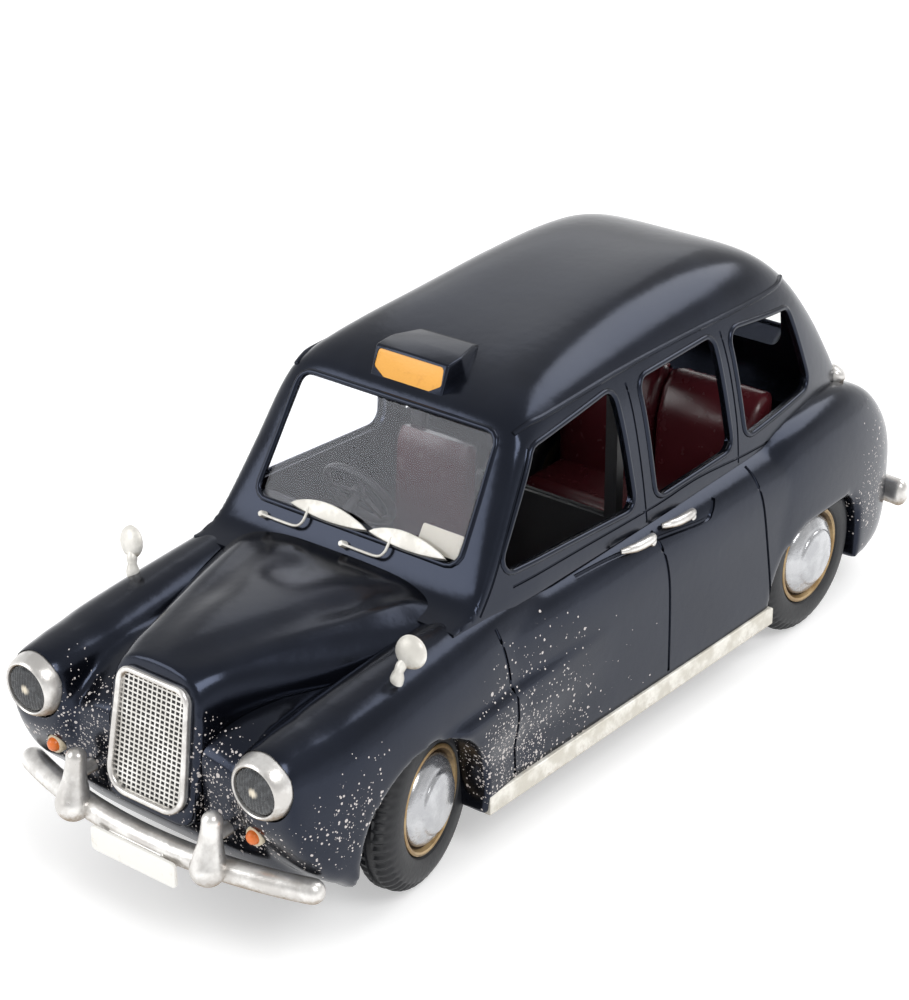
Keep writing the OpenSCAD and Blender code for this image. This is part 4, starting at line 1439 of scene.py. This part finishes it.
@dataclass
class Wheel:
    """Tyre with cut tread and a capped wheel."""

    end: End
    side: Side
    radius: float = AXLE_Z
    half: float = 7.5
    rim: float = 19.0
    cap: float = 15.58
    boss: float = 10.98
    bore: float = 2.56
    treads: int = 52
    cut: float = 0.9

    @property
    def name(self) -> str:
        """Name of the corner of the cab."""
        return f"{self.end.value}_{self.side.word}"

    def tyre(self) -> Mesh:
        """Tyre with cross grooves on both shoulders.

        Returns:
            The mesh about z.
        """
        r, w, rim = self.radius, self.half, self.rim
        wall = [(rim, w - 1.5), (rim + 0.8, w - 0.5), (rim + 2.2, w), (rim + 4, w), (r - 6, w - 0.1)]
        shoulder = [(r - 3.8, w - 0.9), (r - 2.2, w - 1.9), (r - 1.0, w - 3.0), (r - 0.2, w - 4.4)]
        groove = [(r, 1.3), (r - self.cut, 1.1), (r - self.cut, -1.1), (r, -1.3)]
        side = [*wall, *shoulder, (r, w - 5.6)]
        bm = turned(side + groove + [(a, -b) for a, b in reversed(side)], self.treads * 4)
        for v in bm.verts:
            reach = math.hypot(v.co.x, v.co.y)
            step = round(math.atan2(v.co.y, v.co.x) / math.tau * self.treads * 4) % 4
            if reach > r - 3.0 and abs(v.co.z) > 1.5 and step in (0, 1):
                share = (reach - self.cut) / reach
                v.co = Vector((v.co.x * share, v.co.y * share, v.co.z))
        return bm

    def disc(self) -> Mesh:
        """Rim, recess and domed cap turned in one piece.

        Returns:
            The mesh about z, with bright, recess and rim as finishes 0, 1 and 2.
        """
        w, rim, cap, boss, bore = self.half, self.rim, self.cap, self.boss, self.bore
        back = [(0, 3, 1), (bore, 3.0, 1), (bore, -5.5, 1), (7, -5.5, 1), (7, -2, 1), (rim - 2, -2, 1),
                (rim - 2, -w + 1.5, 1), (rim, -w + 1.5, 1)]
        lip = [(rim, w - 1.3, 2), (rim - 0.2, w - 0.9, 2), (rim - 0.9, w - 0.7, 2), (rim - 1.6, w - 1.0, 2)]
        recess = [(rim - 2.2, w - 2.4, 1), (cap + 0.5, w - 3.2, 1)]
        edge = [(cap + 0.2, w - 2.0, 0), (cap - 0.3, w - 1.0, 0), (cap - 1.4, w - 0.1, 0),
                (cap - 3.0, w + 0.8, 0), (boss + 0.9, w + 1.3, 0), (boss + 0.3, w + 1.45, 0),
                (boss - 0.1, w + 1.9, 0)]
        angles = [math.radians(d) for d in range(12, 90, 12)]
        dome = [(boss * math.cos(a) - 0.1, w + 1.9 + 2.0 * math.sin(a), 0) for a in angles]
        return turned([*back, *lip, *recess, *edge, *dome, (0, w + 3.9, 0)], 72)

    def build(self) -> None:
        """Builds the tyre and the wheel on their body."""
        place = wheel_place(self.end, self.side)
        body = f"{self.name}_wheel"
        tyre, disc = f"tyre_{self.name}", f"wheel_{self.name}"
        piece(f"{tyre}_tread", placed(self.tyre(), place), [TYRE], [tyre], body, 30)
        piece(f"{disc}_disc", placed(self.disc(), place), [HUB, BROWN, GOLD], [disc], body)


@dataclass
class Nose:
    """Grille, headlamps, indicators, bumpers, plate and tail lamps."""

    grille_low: float = 17.0
    grille_top: float = 15.2
    grille_h: float = 43.2
    rim: float = 1.6
    wire: float = 0.27
    cols: int = 15
    rows: int = 24
    lamp_r: float = 11.2
    lens_r: float = 8.2
    rib: float = 1.2
    plate_half: float = 18.6
    plate_z: Spot = (22.6, 31.6)
    iron_y: float = 17.0

    def grille_edge(self, inset: float) -> list[Spot]:
        """Outline of the grille drawn in by a distance.

        Args:
            inset: The distance.

        Returns:
            Points in turn, with wider corners at the foot.
        """
        low, top, h = self.grille_low - inset, self.grille_top - inset, self.grille_h
        corners = [(-low, inset), (low, inset), (top, h - inset), (-top, h - inset)]
        foot, head = (rounded(corners, radius - inset / 2, 8) for radius in (8, 5))
        return foot[:18] + head[18:]

    def lattice(self) -> Mesh:
        """Woven mesh as a grid whose cells are opened.

        Returns:
            The mesh in the grille's plane.
        """
        bm = bmesh.new()
        wide, high = 2 * (self.grille_low - self.rim), self.grille_h - 2 * self.rim
        place = shift(0, self.grille_h / 2, 0.5) @ Matrix.Diagonal((wide, high, 1, 1))
        bmesh.ops.create_grid(bm, x_segments=self.cols, y_segments=self.rows, size=0.5, matrix=place)
        cells = bm.faces[:]
        bmesh.ops.inset_individual(bm, faces=cells, thickness=self.wire, use_even_offset=True)
        bmesh.ops.delete(bm, geom=cells, context="FACES")
        bmesh.ops.solidify(bm, geom=bm.faces[:], thickness=0.9)
        return tidy(bm)

    def build_grille(self) -> None:
        """Builds the surround, the mesh, and a dark sheet behind the mesh as painted shade in the grille's
        holes.
        """
        ring = Casting(slab(self.grille_edge(0.15), 0, 1.4)).cut(slab(self.grille_edge(self.rim), -2, 6))
        edge = [Vector((x, y, 1.5)) for x, y in self.grille_edge(self.rim / 2)]
        ring.cut(hoop(even([*edge, edge[0]], 150), 1.05, Vector((0, 0, 1)), 14), operation="UNION")
        mesh = Casting(self.lattice())
        mesh.cut(slab(self.grille_edge(self.rim * 0.6), -4, 6), operation="INTERSECT")
        # Dark sheet behind the mesh: painted shade in the grille's holes
        back = slab(self.grille_edge(1.2), 0.02, 0.2)
        surround = placed(ring.done(), GRILLE_PLACE)
        piece("grille_surround", surround, [SILVER], ["grille_frame"])
        piece("grille_lattice", placed(mesh.done(), GRILLE_PLACE), [MESH], ["grille_mesh"])
        piece("grille_shade_sheet", placed(back, GRILLE_PLACE), [SHADE_SHEET])

    def build_lamp(self, side: Side) -> None:
        """Builds one headlamp and its lens.

        Args:
            side: Side of the cab.
        """
        r, l = self.lamp_r, self.lens_r
        x, y, z = HEADLAMP
        place = shift(x, side.value * y, z) @ TO_X
        ring = [(0, 0), (r, 0), (r, 4.4), (r - 0.15, 5.7), (r - 0.5, 7.2), (r - 1.0, 8.7), (r - 1.6, 9.8)]
        ring += [(r - 2.1, 10.4), (l + 0.5, 10.6), (l + 0.1, 10.3), (l, 9.6), (l, 6), (0, 6)]
        bm = placed(turned(ring, 72), place)
        piece(f"headlamp_{side.word}_ring", bm, [SILVER], [f"headlamp_{side.word}"])
        dome = [(l * (1 - k / 30), 8.9 + 2.0 * math.sqrt(1 - (1 - k / 30) ** 2)) for k in range(31)]
        bm = turned([(0, 6), (l, 6), *dome], 140)
        foot = 8.95
        for v in bm.verts:
            if v.co.z > foot:
                v.co.z += 0.24 * math.cos(v.co.y * math.tau / self.rib) * ramp(0, 0.8, v.co.z - foot)
        lens = f"lens_{side.word}"
        piece(f"{lens}_ribbed", placed(bm, place), [LENS], [lens], crease=70)

    def lamp_pair(self, profile: Sequence[Row], spot: Point, way: Matrix) -> Mesh:
        """Two small turned lamps.

        Args:
            profile: Radius, height and finish number.
            spot: Place of the left lamp.
            way: Turn that points them outwards.

        Returns:
            Both lamps in one mesh.
        """
        x, y, z = spot
        return joined(placed(turned(profile, 40), shift(x, s.value * y, z) @ way) for s in Side)

    def build_indicators(self) -> None:
        """Builds both indicators as one piece."""
        profile = ((0, 0, 1), (3.4, 0, 1), (3.4, 2.9, 1), (3.2, 3.5, 1), (2.8, 3.8, 1), (2.4, 3.7, 0),
                   (2.3, 4.4, 0), (1.9, 5.1, 0), (1.2, 5.6, 0), (0, 5.8, 0))
        pair = self.lamp_pair(profile, INDICATOR, TO_X)
        piece("indicator_pair", pair, [AMBER, CREAM], ["indicators"])

    def build_tail_lamps(self) -> None:
        """Builds both tail lamps as one piece."""
        profile = ((0, 0, 1), (5, 0, 1), (5, 4.4, 1), (4.7, 5.0, 1), (4.3, 5.2, 0), (4.0, 6.2, 0),
                   (3.1, 7.0, 0), (1.7, 7.6, 0), (0, 7.8, 0))
        pair = self.lamp_pair(profile, TAIL_LAMP, turn(-90, "Y"))
        piece("tail_lamp_pair", pair, [RED, SILVER], ["tail_lamps"])

    def bar(self, end: Point, sweep: float, z: float, r: float, tall: float = 1.0) -> Mesh:
        """Swept round bumper bar.

        Args:
            end: Furthest x of the bar, half width, and 1 for the front or -1 for the rear.
            sweep: How far the ends sweep back.
            z: Height.
            r: Radius of the bar.
            tall: Height of the section as a share of its width.

        Returns:
            The bar with rounded ends.
        """
        x, half, sign = end
        radius = (half * half + sweep * sweep) / (2 * sweep)
        reach = math.asin(half / radius)
        run = radius - r
        angles = [math.radians(d) for d in (88, 72, 54, 36, 18)]
        tip = [(-reach - r * math.sin(a) / run, r * math.cos(a)) for a in angles]
        middle = [(-reach + 2 * reach * k / 48, r) for k in range(49)]
        spans = tip + middle + [(-a, size) for a, size in reversed(tip)]
        path = [(sign * (x - radius + run * math.cos(a)), run * math.sin(a), z) for a, _ in spans]
        return rod(path, [size for _, size in spans], 24, tall)

    def overrider(self, foot: Point, top: Point, y: float) -> Mesh:
        """Pear-shaped overrider.

        Args:
            foot: Foot x, z and radius.
            top: Top x, z and radius.
            y: Distance from the centre line.

        Returns:
            The mesh.
        """
        lean = Vector((top[0] - foot[0], 0, top[1] - foot[1]))
        run = lean.length
        low = arc(0, 0, foot[2], -85, 25, 14)
        high = arc(0, run, top[2], -12, 85, 12)
        neck = [(foot[2] * 0.80, run * 0.36), (foot[2] * 0.68, run * 0.52), (top[2] * 1.02, run * 0.76)]
        bm = turned([(0, -foot[2]), *low, *neck, *high, (0, run + top[2])], 36)
        tilt = Vector((0, 0, 1)).rotation_difference(lean).to_matrix().to_4x4()
        return placed(bm, shift(foot[0], y, foot[1]) @ tilt)

    def build_bumpers(self) -> None:
        """Builds both bumpers and the blank plate."""
        front = [self.bar((186, 63, 1), 10.5, 31.6, 4.2), block((179, -12, 24), (186.4, 12, 32), 0.8)]
        rear = [self.bar((189, 64, -1), 4, 31, 3.8, 1.5)]
        for y in (-LUG[1], LUG[1]):
            front.append(self.overrider((184, 33.4, 6), (181, 49.2, 3.5), y))
            front.append(placed(pin(2.4, 12, 24), shift(LUG[0], y, LUG[2]) @ TO_X))
            rear.append(self.overrider((-186.2, 29, 3.8), (-186, 40, 3), y))
        for y in (-self.iron_y, self.iron_y):
            for back, top in ((-166, 18), (-181.6, 31)):
                rear.append(numbered(block((-184.6, y - 3, 14), (back, y + 3, top), 0.6), 1))
        piece("front_bumper_bright", joined(front), [SILVER], ["front_bumper"])
        piece("rear_bumper_bright", joined(rear), [SILVER, UNDERSIDE], ["rear_bumper"])
        half, (low, high) = self.plate_half, self.plate_z
        shape = rounded([(-half, low), (half, low), (half, high), (-half, high)], 1.6, 5)
        plate = placed(slab(shape, 0, 1.4, 0.35), upright(shift(186.4, 0, 0)))
        piece("number_plate_blank", plate, [PLATE], ["number_plate"])

    def build(self) -> None:
        """Builds all lamps and bright work of both ends."""
        self.build_grille()
        for side in Side:
            self.build_lamp(side)
        self.build_indicators()
        self.build_bumpers()
        self.build_tail_lamps()


@dataclass
class Trim:
    """Sign, mirrors, wipers, handles, sills and filler cap.

    A wiper is the y of its hub and of the two ends of its blade, across the windscreen.
    """

    sign_w: float = 15.6
    sign_h: float = 9.5
    sign_l: float = 22.0
    sign_foot: float = 6.2
    sign_lean: float = 1.1
    wipers: Table = ((-37, -27.3, 6.4), (-1, 7.2, 40))
    handles: Row = (1, -23.5)
    sill_low: float = 17.1

    def sign_housing(self) -> Mesh:
        """Wedge of the sign with soft edges.

        Returns:
            The mesh in the sign's own frame, with its front towards -x.
        """
        w, h, l, foot = self.sign_w, self.sign_h, self.sign_l, self.sign_foot
        plan = [(-foot, -w), (7.92, -w), (l, -w * 0.7), (l, w * 0.7), (7.92, w), (-foot, w)]
        side = [(-foot, 0), (self.sign_lean, h), (9.9, h * 0.8), (18.92, h * 0.45), (l, h * 0.2), (l, 0)]
        housing = Casting(slab(plan, 0, h + 4))
        housing.cut(placed(slab(side, -30, 30), turn(90, "X")), operation="INTERSECT")
        bm = housing.done()
        bmesh.ops.dissolve_limit(bm, angle_limit=0.02, verts=bm.verts[:], edges=bm.edges[:])
        soften(bm, [e for e in bm.edges if e.is_manifold and e.calc_face_angle(0) > 0.3], 0.8)
        return bm

    def build_sign(self) -> None:
        """Builds the sign's housing and its blank face."""
        w, lean = self.sign_w, self.sign_foot + self.sign_lean
        tall = math.hypot(lean, self.sign_h)
        tilt = turn(math.degrees(math.atan2(lean, self.sign_h)), "Y")
        front = upright(shift(-self.sign_foot, 0, 0) @ tilt)
        half = [(0.9, tall - 1.1), (0.93, 4.6), (0.62, 1.7)]
        shape = [(w * y, z) for y, z in half] + [(0, 0.9)] + [(-w * y, z) for y, z in reversed(half)]
        face = rounded(shape, 1.4, 4)
        housing = Casting(self.sign_housing()).cut(placed(slab(face, -2, 1), front))
        piece("sign_wedge", placed(housing.done(), SIGN_PLACE), [BLACK], ["sign_housing"])
        panel = placed(slab(face, 0.2, 1.0, 0.12), SIGN_PLACE @ front)
        piece("sign_panel", panel, [SIGN], ["sign_face"])

    def build_mirror(self, side: Side) -> None:
        """Builds one wing mirror.

        Args:
            side: Side of the cab.
        """
        line = smooth_line([(0, 0, 0), (0, 0, 4), (-0.4, 0.5, 8), (-1.6, 1.6, 11.5), (-2.8, 3.0, 14.2)], 4)
        stem = rod(line, [2.6 - 0.09 * k + 0.2 * math.sin(k * 1.3) for k in range(len(line))], 20)
        head = turned(((0, 0), (4.6, 0), (5.2, 0.2), (5.6, 0.8), (5.4, 1.5), (4.6, 2.4), (3, 3.2),
                       (1.4, 3.55), (0, 3.6)), 40)
        placed(head, shift(-3, 3.3, 14.9) @ turn(8, "Z") @ turn(80, "Y") @ shift(0, 0, -1.4))
        bm = on_side(placed(joined([stem, head]), shift(124.9, 57.4, 78)), side)
        piece(f"mirror_{side.word}_bright", bm, [CHALK], [f"mirror_{side.word}"])

    def leaf(self, run: float, wide: float) -> list[Spot]:
        """Outline of a pointed leaf.

        Args:
            run: Length.
            wide: Greatest width.

        Returns:
            Points in turn.
        """
        n = 16
        low = [(run * k / n, -0.3 * wide * math.sin(math.pi * k / n) ** 0.8) for k in range(n + 1)]
        crown = [math.sin(math.pi * (k / n) ** 0.85) ** 0.8 for k in range(n)]
        return low + [(run * k / n, 0.7 * wide * crown[k]) for k in range(n - 1, 0, -1)]

    def build_wipers(self) -> None:
        """Builds both wipers on the windscreen."""
        parts, blades = [], []
        for foot, start, stop in self.wipers:
            run = stop - start
            hub = turned(((0, -1), (1.3, -1), (1.2, 2.2), (0.9, 2.9), (0, 3.1)), 20)
            hook = [(foot, -4.4, 2.4), (foot + 9, -4.5, 2.5), (foot + 15.5, -4.2, 2.4),
                    (foot + 17.6, -2.2, 2.2), (foot + 17.8, 1.0, 1.8), (foot + 17.8, 3.4, 1.6)]
            parts.append(placed(hub, shift(foot, -4.4, 0)))
            parts.append(rod(smooth_line(hook, 5), 0.5, 10))
            parts.append(placed(slab(self.leaf(run, 5.8), 1.0, 1.9, 0.3), shift(start, 2.6, 0)))
            edge = placed(slab(self.leaf(run, 6.2), 0.3, 1.05), shift(start, 2.2, 0))
            blades.append(numbered(edge, 1))
        bm = placed(joined(parts + blades), SCREEN_PLACE)
        piece("wiper_pair", bm, [CHALK, TRIM], ["wipers"])

    def build_handles(self, side: Side) -> None:
        """Builds the door handles of one side.

        Args:
            side: Side of the cab.
        """
        parts = []
        for x in self.handles:
            path = [(x - 9.5, 61.2, 80.7), (x - 8, 62.4, 81.0), (x - 4, 63.4, 81.6), (x + 3, 63.6, 82.2),
                    (x + 7, 62.8, 82.5), (x + 9.5, 61.4, 82.3)]
            line = smooth_line(path, 5)
            n = len(line) - 1
            radii = [0.9 + 0.9 * math.sin(math.pi * (k / n) ** 0.8) for k in range(n + 1)]
            knob = turned(((0, 0), (1.5, 0), (1.6, 1.6), (1.2, 2.4), (0, 2.7)), 20)
            parts.append(rod(line, radii, 14))
            parts.append(placed(knob, shift(x - 7.4, 61.4, 79.6) @ turn(-90, "X")))
        bm = on_side(joined(parts), side)
        piece(f"handles_{side.word}_bright", bm, [SILVER], [f"handles_{side.word}"])

    def build_sill(self, side: Side) -> None:
        """Builds one sill strip.

        Args:
            side: Side of the cab.
        """
        bm = slab(SILL_PLAN, self.sill_low, SILL_TOP, 0.8)
        long = [e for e in bm.edges if e.calc_length() > 100]
        bmesh.ops.subdivide_edges(bm, edges=long, cuts=60, use_grid_fill=True)
        strip = tidy(on_side(bm, side))
        piece(f"sill_{side.word}_strip", strip, [SILL], [f"sill_{side.word}"])

    def build(self) -> None:
        """Builds all trim."""
        self.build_sign()
        for side in Side:
            self.build_mirror(side)
            self.build_handles(side)
            self.build_sill(side)
        self.build_wipers()
        cap = turned(((0, 0), (4.2, 0), (4.1, 4.8), (3.9, 5.6), (3.3, 6.4), (2.2, 6.9), (0, 7.0)), 32)
        piece("filler_cap_bright", placed(cap, FILLER_PLACE), [SILVER], ["filler_cap"])


@dataclass
class Cockpit:
    """Seats, partition, dashboard, steering wheel and a blank card."""

    bench_half: float = 45.0
    bench_x: Spot = (-105, -71)
    bench_back: Table = (
        (-105, 40), (-95, 40), (-97, 78), (-101, 89), (-107, 94.5), (-113, 93), (-112, 60))
    seat_x: Spot = (4, 34)
    seat_y: Spot = (-42, -8)
    seat_back: Table = ((3, 50), (11, 50), (7, 94), (4, 99), (0, 98), (-1, 94))
    card: Table = ((24, 3.2), (41, 3.2), (41, 11.5), (24, 11.5))

    def build_seats(self) -> None:
        """Builds the moulded bench and the driver's seat."""
        half, (rear, fore) = self.bench_half, self.bench_x
        bench = [block((rear, -half, 18), (fore, half, 40), 1.5)]
        bench.append(block((rear, -half, 34), (fore, half, 48), 5.5, 6))
        for low, high in ((-half, -0.4), (0.4, half)):
            bench.append(placed(slab(self.bench_back, -high, -low, 4.0, 6), turn(90, "X")))
        piece("rear_bench_moulded", joined(bench), [SEAT], ["rear_bench"], crease=60)
        (rear, fore), (right, left) = self.seat_x, self.seat_y
        seat = [block((rear, right, 18), (fore, left, 40), 2)]
        seat.append(block((rear, right, 38), (fore, left, 52), 4.5, 6))
        seat.append(placed(slab(self.seat_back, -left, -right, 3, 5), turn(90, "X")))
        piece("driver_seat_moulded", joined(seat), [SEAT], ["driver_seat"], crease=60)

    def build(self) -> None:
        """Builds the seats and the card, and dresses the rest."""
        self.build_seats()
        card = slab(rounded(self.card, 0.8, 3), -3.4, -3.0)
        piece("screen_card_blank", placed(card, SCREEN_PLACE), [CARD])
        dressed = (("dashboard", DASH), ("steering_wheel", TRIM), ("taximeter", METER), ("partition", PANEL),
                   ("partition_glass", CLEAR), ("front_axle", UNDERSIDE), ("rear_axle", UNDERSIDE))
        for node, finish in dressed:
            dress(node, finish)


@dataclass
class Studio:
    """Camera, floor and soft light."""

    eye: Point = (0.6456, 0.5019, 0.4853)
    aim: Point = (0.0, 0.0, 0.06)
    lens: float = 91.94
    slide: Spot = (-0.04305, 0.04759)
    ambient: float = 0.8
    ceiling: float = 0.56
    floor: Colour = (0.72, 0.72, 0.72)
    floor_glow: float = 0.42
    lamps: tuple[tuple[str, Point, float, float], ...] = (
        ("back", (-1.05, 0.35, 1.15), 0.9, 7.5), ("key", (0.35, 1.1, 1.35), 0.7, 9),
        ("front", (1.2, -0.9, 0.85), 0.9, 8), ("far", (-1.2, -0.9, 0.95), 0.8, 1.2))

    def build_camera(self) -> None:
        """Sets the camera at the photograph's angle."""
        data = bpy.data.cameras.new("camera")
        data.lens, data.sensor_width = self.lens, 36.0
        data.shift_x, data.shift_y = self.slide
        camera = bpy.data.objects.new("camera", data)
        camera.location = self.eye
        camera.rotation_mode = "QUATERNION"
        camera.rotation_quaternion = (Vector(self.aim) - Vector(self.eye)).to_track_quat("-Z", "Y")
        bpy.context.scene.collection.objects.link(camera)
        bpy.context.scene.camera = camera

    def build_lamp(self, name: str, spot: Point, size: float, watts: float) -> None:
        """Adds a soft lamp that faces the cab.

        Args:
            name: Name of the lamp.
            spot: Place of the lamp.
            size: Side of the lamp.
            watts: Power.
        """
        data = bpy.data.lights.new(name, "AREA")
        data.size, data.energy = size, watts
        lamp = bpy.data.objects.new(name, data)
        lamp.location = spot
        lamp.rotation_mode = "QUATERNION"
        lamp.rotation_quaternion = (Vector(self.aim) - Vector(spot)).to_track_quat("-Z", "Y")
        bpy.context.scene.collection.objects.link(lamp)

    def build_floor(self) -> None:
        """Adds the pale floor."""
        bm = bmesh.new()
        bmesh.ops.create_grid(bm, x_segments=2, y_segments=2, size=4.0)
        mesh = bpy.data.meshes.new("floor")
        bm.to_mesh(mesh)
        bm.free()
        floor = bpy.data.objects.new("floor", mesh)
        bpy.context.scene.collection.objects.link(floor)
        g = Graph("floor_white")
        mesh.materials.append(g.set(
            Base_Color=self.floor, Roughness=0.9, Specular_IOR_Level=0.1, Emission_Color=(1, 1, 1),
            Emission_Strength=self.floor_glow))

    def build_world(self) -> None:
        """White surroundings for the eye, with a dark upper half for reflections."""
        world = bpy.data.worlds.new("studio")
        bpy.context.scene.world = world
        world.use_nodes = True
        tree = world.node_tree
        back = tree.nodes["Background"]
        back.inputs["Color"].default_value = (1, 1, 1, 1)
        path = tree.nodes.new("ShaderNodeLightPath")
        ways = tree.nodes.new("ShaderNodeTexCoord")
        parts = tree.nodes.new("ShaderNodeSeparateXYZ")
        tree.links.new(ways.outputs["Generated"], parts.inputs[0])
        high = tree.nodes.new("ShaderNodeMapRange")
        high.interpolation_type = "SMOOTHSTEP"
        steps = {"From Min": 0.06, "From Max": 0.36, "To Min": 1.0, "To Max": self.ceiling}
        for key, value in steps.items():
            high.inputs[key].default_value = value
        tree.links.new(parts.outputs["Z"], high.inputs["Value"])
        level = self.pick(tree, path.outputs["Is Glossy Ray"], self.ambient, high.outputs["Result"])
        for name in ("Is Transmission Ray", "Is Camera Ray"):
            level = self.pick(tree, path.outputs[name], level, 1.0)
        tree.links.new(level, back.inputs["Strength"])

    def pick(
            self, tree: bpy.types.NodeTree, way: bpy.types.NodeSocket, other: object,
            held: object) -> bpy.types.NodeSocket:
        """Level for one kind of ray.

        Args:
            tree: Node tree of the world.
            way: Socket that is 1 for that kind of ray.
            other: Level for the other rays, as a number or socket.
            held: Level for that kind of ray, as a number or socket.

        Returns:
            Socket of the level.
        """
        node = tree.nodes.new("ShaderNodeMix")
        tree.links.new(way, node.inputs[0])
        for number, value in ((2, other), (3, held)):
            if isinstance(value, bpy.types.NodeSocket):
                tree.links.new(value, node.inputs[number])
            else:
                node.inputs[number].default_value = value
        return node.outputs[0]

    def build(self) -> None:
        """Builds the whole studio."""
        scene = bpy.context.scene
        scene.view_settings.view_transform = "Standard"
        self.build_camera()
        self.build_floor()
        self.build_world()
        for name, spot, size, watts in self.lamps:
            self.build_lamp(name, spot, size, watts)


def main() -> None:
    """Builds the cab and the studio."""
    logging.basicConfig(level=logging.INFO, format="%(message)s")
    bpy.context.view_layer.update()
    Studio().build()
    Body().build()
    for end in End:
        for side in Side:
            Wheel(end, side).build()
    Nose().build()
    Trim().build()
    Cockpit().build()


if __name__ == "__main__":
    main()
